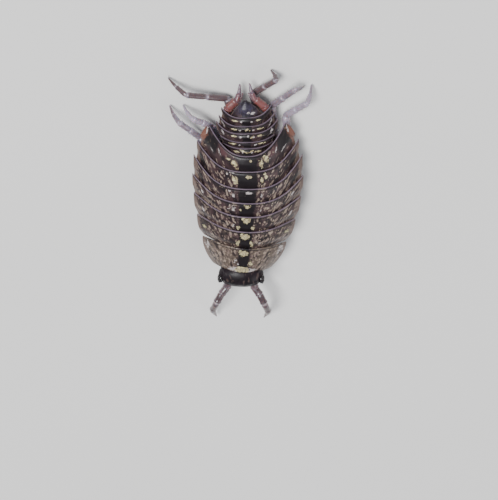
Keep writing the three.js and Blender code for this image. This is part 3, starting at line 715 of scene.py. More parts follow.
# Marks in the order of Spot's fields: the middle line's and the uneven ones, then those on both sides.
LONE_MARKS = {
    Mark.CREAM: [
        (0, -0.02, 0.28, 0.17, 0.15, 0.0, 1.3, 0.6), (0, 0.0, 1.36, 0.24, 0.15, 0.0, 2.2),
        (0, 0.3, 0.92, 0.09, 0.17, -0.25, 0.7), (1, -0.02, 0.26, 0.17, 0.14, 0.0, 1.3, 0.6),
        (1, -0.3, 0.66, 0.065, 0.14, 0.2), (1, -0.33, 0.84, 0.05, 0.1, -0.3),
        (1, 0.25, 0.66, 0.055, 0.15, -0.15), (1, 0.31, 0.83, 0.05, 0.1, 0.3),
        (2, 0.0, 0.19, 0.17, 0.12, 0.0, 1.2, 1.0), (2, -0.34, 0.62, 0.075, 0.13, 0.15),
        (2, 0.28, 0.63, 0.075, 0.12, -0.15), (3, 0.02, 0.17, 0.14, 0.07, 0.0, 1.0, 1.4),
        (3, -0.28, 0.34, 0.05, 0.05), (5, 0.05, 0.24, 0.13, 0.07, 0.0, 1.0, 0.5),
        (5, -0.6, 0.36, 0.055, 0.13, -0.1), (5, -0.46, 0.44, 0.06, 0.17), (5, -0.53, 0.6, 0.045, 0.07),
        (5, 0.74, 0.28, 0.05, 0.15, -0.35), (5, 0.6, 0.44, 0.06, 0.16, -0.2), (6, 0.13, 0.21, 0.055, 0.05),
        (6, -0.55, 0.44, 0.13, 0.13, -0.3, 1.1), (6, -0.8, 0.38, 0.14, 0.045, -0.5, 0.8),
        (6, -0.46, 0.66, 0.08, 0.05, -0.4, 0.85), (6, 0.56, 0.46, 0.07, 0.18, -0.25, 1.1),
        (6, 0.74, 0.34, 0.07, 0.2, -0.5, 1.1), (7, -0.12, 0.15, 0.16, 0.035, 0.45),
        (7, 0.16, 0.14, 0.13, 0.035, -0.45), (9, 0.2, 0.17, 0.1, 0.03, -0.6),
        (10, 0.0, 0.16, 0.09, 0.04, -0.5, 0.9), (10, 0.12, 0.2, 0.04, 0.05, 0.0, 0.8),
    ],
    # Painted sheen: the wide soft patch near the front of plate 1 and the two soft patches beside the middle
    # of plate 4; the rest are real pale streaks and dots.
    Mark.PALE: [
        (0, 0.0, 1.42, 0.55, 0.2, 0.0, 1.2), (0, -0.34, 0.84, 0.045, 0.18, 0.3, 0.7),
        (0, -0.2, 1.0, 0.05, 0.12, -0.2, 0.6), (1, 0.6, 0.66, 0.05, 0.09, 0.0, 0.6),
        (2, -0.56, 0.56, 0.035, 0.13, 0.4, 0.9), (3, -0.62, 0.33, 0.2, 0.2, 0.0, 0.5),
        (3, 0.5, 0.4, 0.16, 0.1, 0.0, 0.45), (4, 0.06, 0.19, 0.14, 0.06, 0.0, 1.1),
        (4, -0.6, 0.36, 0.1, 0.13, 0.0, 0.6), (4, -0.74, 0.18, 0.08, 0.05, 0.0, 0.65),
        (4, 0.6, 0.34, 0.1, 0.14, 0.0, 0.55), (5, -0.84, 0.22, 0.06, 0.05, 0.0, 0.7),
        (5, -0.66, 0.1, 0.12, 0.025, 0.0, 0.7), (5, 0.72, 0.22, 0.05, 0.12, -0.3, 0.6),
        (6, 0.92, 0.46, 0.1, 0.045, -0.6, 0.6), (8, 0.36, 0.13, 0.05, 0.035), (9, 0.06, 0.12, 0.05, 0.045),
        (12, 0.12, 0.56, 0.07, 0.05, 0.0, 1.1), (12, 0.3, 0.58, 0.09, 0.05, -0.2, 1.1),
    ],
    Mark.VIOLET: [
        (12, 0.0, 0.4, 0.6, 0.4, 0.0, 0.75),
    ],
}
PAIRED_MARKS = {
    Mark.CREAM: [
        (1, 1.74, 0.5, 0.08, 0.1, 0.4, 0.8), (7, 0.46, 0.18, 0.14, 0.045, 0.12, 0.95),
        (8, 0.6, 0.12, 0.16, 0.03, 0.12, 0.95), (9, 0.54, 0.14, 0.11, 0.035, 0.12, 0.95),
        (10, 0.55, 0.17, 0.13, 0.035, 0.12, 0.95), (11, 0.48, 0.17, 0.11, 0.035, 0.12, 0.95),
    ],
    # Painted glints: the pairs 1.84 and 1.9 mm out on plates 3 and 4; the rest are real pale marks.
    Mark.PALE: [
        (0, 1.56, 0.34, 0.13, 0.3, 0.3, 0.6), (2, 1.84, 0.5, 0.05, 0.12, 0.5, 0.9),
        (3, 1.9, 0.34, 0.07, 0.11, 0.5, 0.8), (6, 1.66, 0.2, 0.035, 0.15, -0.2, 1.1),
        (6, 1.5, 0.88, 0.13, 0.05, 0.3, 0.75), (6, 1.18, 0.44, 0.05, 0.14, 0.2, 0.7),
        (7, 0.19, 0.2, 0.05, 0.04, 0.0, 0.8), (8, 0.33, 0.14, 0.05, 0.04, 0.0, 0.8),
        (9, 0.27, 0.16, 0.05, 0.04, 0.0, 0.8), (9, 1.0, 0.2, 0.06, 0.12, 0.3, 0.75),
        (10, 0.28, 0.19, 0.05, 0.04, 0.0, 0.8), (10, 1.0, 0.2, 0.06, 0.12, 0.3, 0.75),
        (11, 0.21, 0.19, 0.05, 0.04, 0.0, 0.8),
    ],
    Mark.DARK: [
        (1, 1.74, 0.5, 0.14, 0.17, 0.0, 0.75), (4, 1.95, 0.62, 0.12, 0.24, 0.0, 0.9),
        (5, 1.92, 0.55, 0.15, 0.24), (6, 1.56, 0.62, 0.25, 0.34, 0.0, 1.1), (6, 1.35, 0.3, 0.14, 0.26),
    ],
    Mark.RUST: [
        (6, 1.82, 0.24, 0.2, 0.34, 0.0, 0.95),
    ],
    Mark.RED: [
        (5, 1.3, 0.36, 0.3, 0.2, 0.0, 0.5), (6, 1.1, 0.3, 0.3, 0.22, 0.0, 0.8),
    ],
}


def spots_of(kind: Mark, plate: int) -> list[Spot]:
    """All marks of a kind on a plate."""
    both = [Spot(*row) for row in PAIRED_MARKS.get(kind, [])]
    spots = [Spot(*row) for row in LONE_MARKS.get(kind, [])] + both + [spot.mirrored() for spot in both]
    return [spot for spot in spots if spot.plate == plate]


# Paint of plates 1 to 7 and of the tail: half width of the stripe, tan, streaks and rim.
COATS = [
    (0.2, 0.6, 0.8, 0.3),
    (0.26, 0.3, 0.8, 0.75),
    (0.3, 0.2, 0.85, 0.85),
    (0.32, 0.14, 0.85, 0.9),
    (0.36, 0.1, 0.8, 0.95),
    (0.4, 0.05, 0.6, 1.0),
    (0.4, 0.0, 0.2, 1.0),
    (0.2, 0.0, 0.2, 0.85),
]
TAIL_DARK, SEED_STEP = 0.42, 1.7


@dataclass(frozen=True)
class PlateForm:
    """Places on a plate: along the back, at its margins, across and under the top."""

    s: Array
    first: Array
    last: Array
    edge: Array
    across: Array
    depth: Array


@dataclass
class ShellPlate:
    """One overlapping back plate."""

    index: int
    columns: int = 150
    rows: int = 34
    rim: float = 0.02

    @property
    def size(self) -> PlateSize:
        """The plate's sizes."""
        return PLATES[self.index]

    def front(self) -> tuple[float, float, float, float, float]:
        """Half width, arch, set back, sweep and rounding of the front margin."""
        plain = {0: FRONT_MARGIN, FIRST_PLEON: PLEON_MARGIN, TELSON: TELSON_MARGIN}
        if self.index in plain:
            return (*plain[self.index], MARGIN_POWER, 0.0)
        ahead = PLATES[self.index - 1]
        return (ahead.half_width, ahead.arch, ahead.set_back, ahead.sweep, ahead.round)

    def form(self, u: Array, v: Array) -> PlateForm:
        """The smooth outer form at u across (-1 to 1) and v along (0 to 1)."""
        width, arch, *run = self.front()
        first_plate, is_telson = self.index == 0, self.index == TELSON
        edge = SPINE.ends[self.index] + behind(u, *run)
        reach = behind(u, *run) * (1 if first_plate else REACH) - (0 if first_plate else OVERLAP)
        first = SPINE.ends[self.index] + reach
        last = SPINE.ends[self.index + 1] + self.size.behind(u)
        grow = v**1.25 if is_telson else np.sin(v * math.pi / 2) ** 0.8
        w = mix(width, self.size.half_width, grow)
        h = mix(arch, self.size.arch, v if is_telson else v**0.9)
        return PlateForm(mix(first, last, v), first, last, edge, w * u, h * np.abs(u) ** ARCH_POWER)

    def tuck(self, u: Array, v: Array) -> Array:
        """How far the front is lowered to pass under the plate ahead."""
        if self.index == 0:
            return np.zeros_like(u)
        form = self.form(u, v)
        covered = form.edge + 0.02
        if self.index in (FIRST_PLEON, FIRST_PLEON + 1):
            lid = PLATES[FIRST_PLEON - 1]
            reach = SPINE.ends[FIRST_PLEON] + lid.behind(form.across / lid.half_width)
            covered = np.maximum(covered, reach + 0.03)
        start = np.minimum((covered - form.first) / (form.last - form.first), 0.9)
        return (PLATE + GAP) * (1 - smooth(v, start, np.minimum(start + 0.4, 1)))

    def surface(self, u: Array, v: Array, under: Array) -> Array:
        """Points of the plate, lowered by under square to its form."""
        e = 0.01

        def at(a: Array, b: Array) -> Array:
            """Point of the smooth form."""
            form = self.form(a, b)
            return SPINE.place(form.s, form.across, form.depth)

        across = at(np.minimum(u + e, 1), v) - at(np.maximum(u - e, -1), v)
        along = at(u, np.minimum(v + e, 1)) - at(u, np.maximum(v - e, 0))
        normal = unit(np.cross(across, along))
        return at(u, v) - normal * (under + self.tuck(u, v))[..., None]

    def grid(self) -> tuple[Array, Array]:
        """u and v of the grid, close together near the margins."""
        crowd = math.pi / 2.24
        across = np.sin(np.linspace(-1, 1, self.columns) * crowd) / math.sin(crowd)
        along = 1 - (1 - np.linspace(0, 1, self.rows)) ** 1.5
        return np.meshgrid(across, along)

    def swell(self, u: Array, v: Array, ahead: Array) -> Array:
        """Relief of the outer side: a low crown, a rolled rim and faint lumps."""
        crown = 0.012 * np.sin(math.pi * v)
        bead = ridge(ahead, 0.035, 0.025) - 0.8 * ridge(ahead, 0.1, 0.035)
        roll = -0.03 * smooth(-ahead, -0.02, 0.0)
        lumps = 0.006 * waves(np.stack([u * 2.3, v], -1), 11 + self.index, 6, 1.3)
        edge = 1 - np.abs(u) ** 8
        return (crown + self.rim * bead * 0.7 + lumps * smooth(ahead, 0.12, 0.3)) * edge + roll

    def values(self, u: Array, ahead: Array, across: Array) -> dict[str, Array]:
        """Numbers that the shell's material reads: marks, rims and tones."""
        tail = self.index >= FIRST_PLEON
        marks = {}
        for kind in Mark:
            heights = [spot.value(across, ahead) for spot in spots_of(kind, self.index)]
            marks[kind.value] = np.maximum.reduce([np.zeros_like(u), *heights])
        wobble = 0.05 * waves(np.stack([across, ahead], -1), 40 + self.index, 4, 1.0)
        half, tan, streaky, rim = COATS[min(self.index, FIRST_PLEON)]
        stripe = 1 - smooth(np.abs(across) + wobble, half - 0.12, half + 0.14)
        groove = 0.75 * ridge(ahead, 0.1, 0.04)
        base = np.full_like(u, TAIL_DARK if tail else 0.0)
        marks["Dark"] = np.maximum.reduce([marks["Dark"], stripe * 0.95, groove, base])
        side = smooth(np.abs(across) / max(self.size.half_width, 0.6), 0.1, 0.24)
        marks["Rim"] = (1 - smooth(ahead, 0.015, 0.045)) * rim
        marks["Border"] = smooth(np.abs(u), 0.88, 0.98) * (0.8 if tail else 1.0)
        marks["Tan"] = tan * (0.55 + 0.6 * side)
        marks["Flank"] = side * (0.3 if tail else 1.0)
        marks["Streaky"] = np.full_like(u, streaky)
        marks["Speckle"] = smooth(ahead, 0.08, 0.2) * (0.3 if tail else 0.9)
        marks["Plate_number"] = np.full_like(u, self.index * SEED_STEP)
        return marks

    def build(self, looks: Looks) -> None:
        """Builds the plate and lets it stand for its node."""
        u, v = self.grid()
        form = self.form(u, v)
        across, ahead = form.across, form.last - form.s
        outer = self.surface(u, v, -self.swell(u, v, ahead))
        thin = PLATE * (1 - 0.4 * np.abs(u) ** 6) * (1 - 0.35 * smooth(-ahead, -0.12, 0.0))
        inner = self.surface(u, v, thin)
        skin = slab(outer, inner)
        numbers = self.values(u, ahead, across)
        skin.values = {name: np.concatenate([a.ravel(), a.ravel()]) for name, a in numbers.items()}
        fan = 0.9 * np.sign(u) * np.abs(u) ** 1.5
        for name, x in (("Plate", across), ("Flow", across + fan * ahead)):
            place = np.stack([x.ravel(), ahead.ravel()], -1)
            skin.maps[name] = np.concatenate([place, place])
        slot = "tail_shell" if self.index >= FIRST_PLEON else "shell"
        keep(skin.to_object(f"shell_{self.size.name}", looks[slot]), self.size.name)


@dataclass
class Limb:
    """A jointed limb: a tube for each article, sunk into the one before it."""

    joints: list[Array]
    radii: list[float]
    flatten: float = 0.86
    sides: int = 20
    rings: int = 16
    lap: float = 0.45
    neck: float = 0.72
    cuff: float = 0.14
    bow: float = 0.021

    def article(self, index: int, tone: float) -> Skin:
        """One article.

        Args:
            index: its place along the limb.
            tone: how dark it is, 0 to 1.

        Returns:
            Its closed skin, with the values Tone and Joint.
        """
        a, b = self.joints[index], self.joints[index + 1]
        ra, rb = self.radii[index], self.radii[index + 1]
        axis = unit(b - a)
        start = a - axis * ra * (self.lap if index else 0.0)
        t = np.linspace(0, 1, self.rings)
        hint = np.array([0.0, 0.1, 1.0]) if abs(axis[2]) < 0.9 else np.array([0.0, 1.0, 0.2])
        side = unit(np.cross(hint, axis))
        other = np.cross(axis, side)
        neck = mix(self.neck, 1.0, smooth(t, 0.0, 0.22))
        cuff = 1 + self.cuff * ridge(t, 0.86, 0.1) - 0.35 * smooth(t, 0.94, 1.02)
        radius = mix(ra, rb, t) * neck * cuff
        angle = np.linspace(0, 2 * math.pi, self.sides, endpoint=False)
        bow = self.bow * np.sin(math.pi * t) * np.linalg.norm(b - a)
        centre = start + (b - start) * t[:, None] + other * bow[:, None]
        ring = np.cos(angle)[:, None] * side + self.flatten * np.sin(angle)[:, None] * other
        skin = tube(centre[:, None] + ring[None] * radius[:, None, None])
        tones = np.tile(tone + 0.35 * np.clip(np.sin(angle), 0, 1), self.rings)
        joint = np.repeat(ridge(t, 0.0, 0.09) + ridge(t, 0.98, 0.06), self.sides)
        skin.values = {
            "Tone": np.concatenate([tones, [tone, tone]]),
            "Joint": np.concatenate([joint, [0.0, 1.0]]),
        }
        return skin

    def skin(self, tones: list[float]) -> Skin:
        """The whole limb as one skin."""
        return Skin.joined([self.article(i, tones[i]) for i in range(len(self.joints) - 1)])


@dataclass(frozen=True)
class LegPath:
    """Where a leg runs, in millimetres."""

    pair: int
    s: float
    across: float
    bend: Place
    knee: Place
    foot: tuple[float, float]
    ischium: Place | None = None
    brown: float = 0.25


FRONT_LEGS = [
    LegPath(1, 1.26, 0.72, (1.08, -2.7, 0.72), (1.36, -3.15, 0.7), (1.38, -3.7)),
    LegPath(2, 2.13, 0.88, (1.42, -1.65, 0.74), (1.74, -1.95, 0.7), (1.8, -2.4)),
    LegPath(3, 3.03, 0.95, (1.6, -0.62, 0.74), (1.92, -0.76, 0.7), (1.96, -1.16)),
    LegPath(4, 3.8, 0.98, (1.6, 0.42, 0.74), (1.92, 0.78, 0.7), (1.92, 1.28)),
]
LEFT_HIND_LEGS = [
    LegPath(5, 4.4, 1.0, (-1.86, 2.45, 0.52), (-2.72, 3.4, 0.86), (-3.14, 3.74), (-1.55, 1.75, 0.6)),
    LegPath(6, 5.1, 0.76, (-1.4, 3.02, 0.5), (-2.16, 3.64, 0.92), (-2.58, 3.78), (-1.14, 2.5, 0.52), -0.25),
    LegPath(7, 5.66, 0.42, (-0.74, 4.3, 0.32), (-2.45, 4.74, 0.78), (-3.2, 5.12), (-0.6, 3.5, 0.36), 0.8),
]
RIGHT_HIND_LEGS = [
    LegPath(5, 4.4, 1.0, (1.7, 3.62, 0.46), (2.56, 4.5, 0.84), (2.72, 4.94), (1.84, 2.1, 0.56), 0.0),
    LegPath(6, 5.1, 0.78, (1.1, 4.05, 0.4), (2.04, 5.16, 0.84), (2.42, 4.84), (1.26, 2.95, 0.48), 0.3),
    LegPath(7, 5.66, 0.36, (0.36, 4.6, 0.28), (1.26, 5.5, 0.66), (1.02, 5.62), (0.46, 3.6, 0.34), 0.8),
]
ENDS = SPINE.ends
# The body under the plates: distance along the back, half width, depth of its sides and of its belly.
CORE_KNOTS = [
    (0.3, 0.72, 0.8, 0.98),
    (ENDS[1], 1.28, 0.94, 1.2),
    (ENDS[2], 1.5, 1.04, 1.3),
    (ENDS[4], 1.66, 1.12, 1.36),
    (ENDS[6], 1.55, 1.06, 1.26),
    (ENDS[7] - 0.35, 1.1, 0.9, 1.1),
    (ENDS[7] - 0.05, 0.82, 0.52, 0.78),
    (ENDS[10], 0.86, 0.56, 0.74),
    (ENDS[12] - 0.05, 0.56, 0.46, 0.56),
]


def core_size(s: Array | float) -> list[Array]:
    """Half width, side depth and belly depth of the body at s."""
    knots = np.array(CORE_KNOTS)
    s = np.asarray(s, float)
    k = np.clip(np.searchsorted(knots[:, 0], s), 1, len(knots) - 1)
    t = smooth(s, knots[k - 1, 0], knots[k, 0])
    return [mix(knots[k - 1, c], knots[k, c], t) for c in (1, 2, 3)]


@dataclass
class Leg:
    """One walking leg: seven articles, bristles and a claw."""

    path: LegPath
    side: Side
    radii: tuple[float, ...] = (0.2, 0.18, 0.165, 0.15, 0.135, 0.12, 0.08, 0.028)
    coxa: float = 0.34
    hip_out: float = 0.12
    ischium_at: float = 0.6
    merus_at: float = 0.52
    foot_bow: tuple[float, float] = (0.05, 0.06)
    claw_height: float = 0.105

    def joints(self) -> list[Array]:
        """The leg's joints from its root to the floor."""
        sign = self.side.value
        path = self.path
        flip = 1.0 if math.copysign(1, path.bend[0]) == sign else -1.0
        beside = 0.0 if path.ischium else float(SPINE.frame(path.s)[0][0])
        bend, knee = (np.array([p[0] * flip + beside, p[1], p[2]]) for p in (path.bend, path.knee))
        foot = np.array([path.foot[0] * flip + beside, path.foot[1], 0.0])
        _, _, belly = core_size(path.s)
        root = SPINE.place(path.s, sign * path.across, belly - 0.02)
        up = SPINE.frame(path.s)[2]
        flat = (bend - root) * [1, 1, 0]
        hip = root - up * self.coxa + unit(flat) * self.hip_out
        ischium = np.array(path.ischium) if path.ischium else mix(hip, bend, self.ischium_at)
        merus = mix(bend, knee, self.merus_at)
        out, rise = self.foot_bow
        propodus = (knee + foot) / 2 + np.array([sign * out, 0, rise])
        return [root, hip, ischium, bend, merus, knee, propodus, foot + [0, 0, self.claw_height]]

    def build(self, looks: Looks) -> None:
        """Builds the leg and its bristles."""
        name = f"leg_{self.path.pair}_{self.side.label}"
        limb = Limb(self.joints(), list(self.radii))
        brown = self.path.brown
        tones = [0.5, 0.5, brown + 0.1, brown, brown, brown - 0.05, brown + 0.15]
        piece = limb.skin(tones).to_object(f"limb_{name}", looks["legs"])
        hairs = Bristles(34.0, 0.1, 0.006, self.path.pair * 2 + self.side.value)
        hairs.dress(piece, name, looks)


GROW = "grow_bristles"


@dataclass
class Bristles:
    """Short stiff bristles strewn over a piece, leaning along the limb."""

    density: float
    length: float
    radius: float
    seed: int
    lean: float = 0.5

    def tree(self, material: Material) -> Tree:
        """The node tree that grows them, with named inputs."""
        tree = bpy.data.node_groups.new(GROW, "GeometryNodeTree")
        sockets = [("Geometry", "INPUT", "Geometry")]
        sockets += [(label, "INPUT", "Float") for label in ("Density", "Length", "Radius", "Lean")]
        for label, way, kind in sockets + [("Seed", "INPUT", "Int"), ("Geometry", "OUTPUT", "Geometry")]:
            tree.interface.new_socket(label, in_out=way, socket_type="NodeSocket" + kind)
        nodes = Nodes(tree)
        given = nodes.add("NodeGroupInput").outputs
        sown = {"Mesh": given["Geometry"], "Density": given["Density"], "Seed": given["Seed"]}
        spread = nodes.add("GeometryNodeDistributePointsOnFaces", sown).outputs
        shape = {"Vertices": 4, "Side Segments": 1, "Fill Segments": 1}
        shape |= {"Radius Bottom": given["Radius"], "Depth": given["Length"]}
        cone = nodes.add("GeometryNodeMeshCone", shape)
        angle = nodes.add("ShaderNodeCombineXYZ", {0: given["Lean"]})
        turned = nodes.add("FunctionNodeEulerToRotation", {0: angle.outputs[0]})
        tilt = nodes.add("FunctionNodeRotateRotation", rotation_space="LOCAL")
        nodes.put(tilt.inputs[0], spread["Rotation"])
        nodes.put(tilt.inputs[1], turned.outputs[0])
        vary = nodes.add("FunctionNodeRandomValue", {2: 0.6, 3: 1.3, "Seed": 7}, data_type="FLOAT")
        each = {"Points": spread["Points"], "Instance": cone.outputs["Mesh"]}
        each |= {"Rotation": tilt.outputs[0], "Scale": vary.outputs[1]}
        planted = nodes.add("GeometryNodeInstanceOnPoints", each)
        real = nodes.add("GeometryNodeRealizeInstances", {0: planted.outputs[0]})
        dressed = nodes.add("GeometryNodeSetMaterial", {"Geometry": real.outputs[0], "Material": material})
        nodes.add("NodeGroupOutput", {0: dressed.outputs[0]})
        return tree

    def on(self, host: Piece, name: str, material: Material) -> Piece:
        """Grows bristles on a host and returns them as a plain piece."""
        tree = bpy.data.node_groups.get(GROW) or self.tree(material)
        modifier = host.modifiers.new("grow", "NODES")
        modifier.node_group = tree
        values = {
            "Density": self.density / MM**2,
            "Length": self.length * MM,
            "Radius": self.radius * MM,
            "Lean": self.lean,
            "Seed": self.seed,
        }
        for item in tree.interface.items_tree:
            if item.item_type == "SOCKET" and item.in_out == "INPUT" and item.name in values:
                modifier[item.identifier] = values[item.name]
        graph = bpy.context.evaluated_depsgraph_get()
        grown = host.evaluated_get(graph)
        mesh = bpy.data.meshes.new_from_object(grown, preserve_all_data_layers=True, depsgraph=graph)
        host.modifiers.remove(modifier)
        mesh.name = name
        if not mesh.materials:
            mesh.materials.append(material)
        return link(name, mesh)

    def dress(self, piece: Piece, node: str, looks: Looks) -> None:
        """Keeps a piece and the bristles that grow on it."""
        hairs = self.on(piece, f"bristles_{node}", looks["bristles"])
        keep(piece, node)
        keep(hairs, node)


def ball_grid(rows: int, columns: int, short: float) -> tuple[Array, Array]:
    """Latitudes and longitudes of a closed ball, ending a little short of its poles."""
    lat = np.linspace(short - math.pi / 2, math.pi / 2 - short, rows)
    return np.meshgrid(lat, np.linspace(0, 2 * math.pi, columns, endpoint=False), indexing="ij")


def ball(rows: int, columns: int, short: float = 0.02) -> Array:
    """Rings of points on the unit ball."""
    lat, lon = ball_grid(rows, columns, short)
    return np.stack([np.cos(lat) * np.cos(lon), np.cos(lat) * np.sin(lon), np.sin(lat)], -1)


def ellipsoid(centre: Array, size: Place, turn: float = 0.0, pitch: float = 0.0) -> Skin:
    """A smooth ellipsoid turned about Z, after a turn about X."""
    turns = np.array(Matrix.Rotation(turn, 3, "Z") @ Matrix.Rotation(pitch, 3, "X"))
    return tube(np.asarray(centre) + ball(24, 40) * size @ turns.T)


# Radius of a lens, the angle between lenses and the square of the angle that they fill.
LENS, LENS_PITCH, LENS_SPREAD = 0.036, 0.36, 1.25


@dataclass
class Head:
    """The head capsule, with eyes, feelers and mouthparts."""

    y: float = -4.08
    z: float = 1.5
    half_width: float = 0.99
    half_length: float = 0.58
    up: float = 0.5
    down: float = 0.6
    eye: Place = (0.87, -4.2, 1.6)
    eye_radius: float = 0.2
    square: float = 0.92
    joints: tuple[Place, ...] = (
        (0.62, -4.98, 1.28),
        (0.84, -5.26, 1.4),
        (1.04, -5.66, 1.5),
        (1.22, -6.4, 1.1),
        (1.18, -6.85, 0.7),
        (1.12, -7.15, 0.46),
        (1.05, -7.45, 0.26),
    )
    radii: tuple[float, ...] = (0.17, 0.17, 0.16, 0.15, 0.13, 0.085, 0.06, 0.02)

    @property
    def x(self) -> float:
        """Place of the head's middle plane."""
        return float(SPINE.frame(0.0)[0][0]) - 0.02

    def point(self, lon: Array, lat: Array) -> Array:
        """Point of the capsule at a longitude from the front and a latitude."""

        def box(t: Array) -> Array:
            """Signed power, which squares the form a little."""
            return np.sign(t) * np.abs(t) ** self.square

        x = box(np.cos(lat)) * box(np.sin(lon))
        y = box(np.cos(lat)) * box(np.cos(lon))
        z = box(np.sin(lat))
        brow = 1 - 0.16 * np.maximum(z, 0) * np.maximum(y, 0)
        px = self.x + x * self.half_width * (1 - 0.1 * np.maximum(-z, 0))
        py = self.y - y * self.half_length * brow - 0.06 * z
        pz = self.z + np.where(z > 0, z * self.up, z * self.down) - 0.12 * np.maximum(y, 0) - 0.1 * x * x
        return np.stack([px, py, pz], -1)

    def capsule(self, looks: Looks) -> None:
        """The capsule with its brow ridge, clypeus and eye rims."""
        lat, lon = ball_grid(90, 160, 0.01)
        points = self.point(lon, lat)
        middle, e = np.array([self.x, self.y, self.z]), 0.01
        normal = unit(np.cross(self.point(lon + e, lat) - points, self.point(lon, lat + e) - points))
        rel = points - middle
        normal *= np.sign(np.sum(normal * rel, -1, keepdims=True))
        x, y, z = (rel[..., axis] for axis in range(3))
        front = smooth(-y, 0.1, 0.45)
        clypeus = np.exp(-((x / 0.34) ** 4 + ((z + 0.34) / 0.16) ** 4)) * front
        lip = ridge(z, -0.2, 0.03) * np.exp(-((x / 0.4) ** 4)) * front
        apart = (np.abs(rel) - np.abs(self.eye_place(1) - middle)) * [0.6, 1, 1]
        eye_far = np.linalg.norm(apart, axis=-1)
        rise = 0.035 * ridge(z, 0.16, 0.07) * front - 0.02 * ridge(z, 0.3, 0.05) * front
        rise += 0.05 * clypeus - 0.02 * lip + 0.008 * waves(points, 3, 8, 1.6)
        rise += 0.015 * ridge(eye_far, 0.23, 0.035) - 0.02 * (1 - smooth(eye_far, 0.15, 0.22))
        skin = tube(points + normal * rise[..., None])
        face = clypeus + 0.4 * smooth(-z, 0.2, 0.5)
        skin.values = {
            "Crown": np.concatenate([smooth(z, -0.05, 0.25).ravel(), [0, 1]]),
            "Face": np.concatenate([face.ravel(), [1, 0]]),
        }
        keep(skin.to_object("head_capsule", looks["head_shell"]), "head")

    def eye_place(self, side: int) -> Array:
        """Middle of an eye."""
        return np.array([self.x + side * self.eye[0], self.eye[1], self.eye[2]])

    def build_eye(self, side: Side, looks: Looks) -> None:
        """A low dome set with round lenses in slanting rows."""
        centre = self.eye_place(side.value)
        radius = np.array([0.62, 1.12, 1.0]) * self.eye_radius
        skins = [tube(centre + ball(28, 44) * radius * 0.94)]
        lens = ball(6, 8, math.pi / 2 - 1.2) * LENS
        for row in range(-3, 4):
            for column in range(-3, 4):
                a, b = row * LENS_PITCH, (column + 0.5 * (row % 2)) * LENS_PITCH
                if a * a + b * b > LENS_SPREAD:
                    continue
                outward = np.array([side.value * math.cos(a) * math.cos(b), math.sin(b), math.sin(a)])
                skins.append(tube(centre + unit(outward) * radius * 0.95 + lens))
        name = f"eye_{side.label}"
        keep(Skin.joined(skins).to_object(f"{name}_lenses", looks["eyes"]), name)

    def build_antenna(self, side: Side, looks: Looks) -> None:
        """Five articles in an elbow and a whip of three, with fine bristles."""
        root = self.point(np.array(0.52 * side.value), np.array(-0.2))
        inward = unit(np.array([self.x, self.y, self.z]) - root)
        joints = [root + inward * 0.06]
        joints += [np.array([self.x + side.value * x, y, z]) for x, y, z in self.joints]
        limb = Limb(joints, list(self.radii), flatten=0.95)
        skin = limb.skin([0.35, 0.5, 0.6, 0.55, 0.5, 0.5, 0.45])
        piece = skin.to_object(f"feeler_{side.label}", looks["feelers"])
        name = f"antenna_{side.label}"
        hairs = Bristles(110.0, 0.055, 0.004, 60 + side.value, 0.9)
        hairs.dress(piece, name, looks)

    def build_mouth(self, looks: Looks) -> None:
        """Broad paired plates under the head, with a seam between them."""
        skins = []
        for side in (-1, 1):
            centre = np.array([self.x + side * 0.2, -4.06, self.z - self.down - 0.15])
            skins.append(ellipsoid(centre, (0.26, 0.42, 0.13), side * 0.18))
            palp = np.array([self.x + side * 0.14, -4.44, self.z - self.down - 0.12])
            skins.append(ellipsoid(palp, (0.09, 0.16, 0.07), side * 0.3))
        keep(Skin.joined(skins).to_object("mouth_plates", looks["belly"]), "mouthparts")

    def build(self, looks: Looks) -> None:
        """Builds all of the head."""
        self.capsule(looks)
        for side in Side:
            self.build_eye(side, looks)
            self.build_antenna(side, looks)
        self.build_mouth(looks)


@dataclass
class Underside:
    """The pale body under the plates, with its gill flaps."""

    steps: int = 120
    around: int = 60

    def build_core(self, looks: Looks) -> None:
        """The body's skin, grooved between its segments."""
        s = np.linspace(CORE_KNOTS[0][0], CORE_KNOTS[-1][0], self.steps)
        width, side, belly = core_size(s)
        angle = np.linspace(0, 2 * math.pi, self.around, endpoint=False)
        c, n = np.cos(angle), np.sin(angle)
        across = width[:, None] * np.sign(c) * np.abs(c) ** 0.7
        arch = (across / (width[:, None] * 1.25)) ** 2 * side[:, None] * 0.75
        top = np.minimum(0.3 + arch, side[:, None] + 0.2)
        bottom = belly[:, None] * (1 - 0.12 * np.abs(c) ** 4)
        seams = np.min(np.abs(s[:, None] - SPINE.ends[None, 1:12]), axis=1)
        groove = 0.035 * ridge(seams, 0.0, 0.05)[:, None]
        depth = np.where(n[None] > 0, top, bottom - groove)
        middle = (top + bottom) / 2
        depth = middle + (depth - middle) * np.abs(n[None]) ** 0.35
        points = SPINE.place(np.broadcast_to(s[:, None], depth.shape), across, depth)
        keep(tube(points).to_object("belly_skin", looks["belly"]), "underside")

    def build_flaps(self, side: Side, looks: Looks) -> None:
        """Five overlapping flaps on one side under the hind body."""
        skins = []
        for k in range(5):
            s = float(mix(ENDS[7] + 0.25, ENDS[11] + 0.1, k / 4))
            belly = core_size(s)[2]
            up = SPINE.frame(s)[2]
            centre = SPINE.place(s, side.value * 0.37, belly + 0.18)
            skins.append(ellipsoid(centre, (0.33 - 0.02 * k, 0.34, 0.09), 0.0, -math.asin(up[1]) - 0.08))
        name = f"pleopods_{side.label}"
        keep(Skin.joined(skins).to_object(f"flaps_{name}", looks["belly"]), name)

    def build(self, looks: Looks) -> None:
        """Builds the belly and both rows of flaps."""
        self.build_core(looks)
        for side in Side:
            self.build_flaps(side, looks)


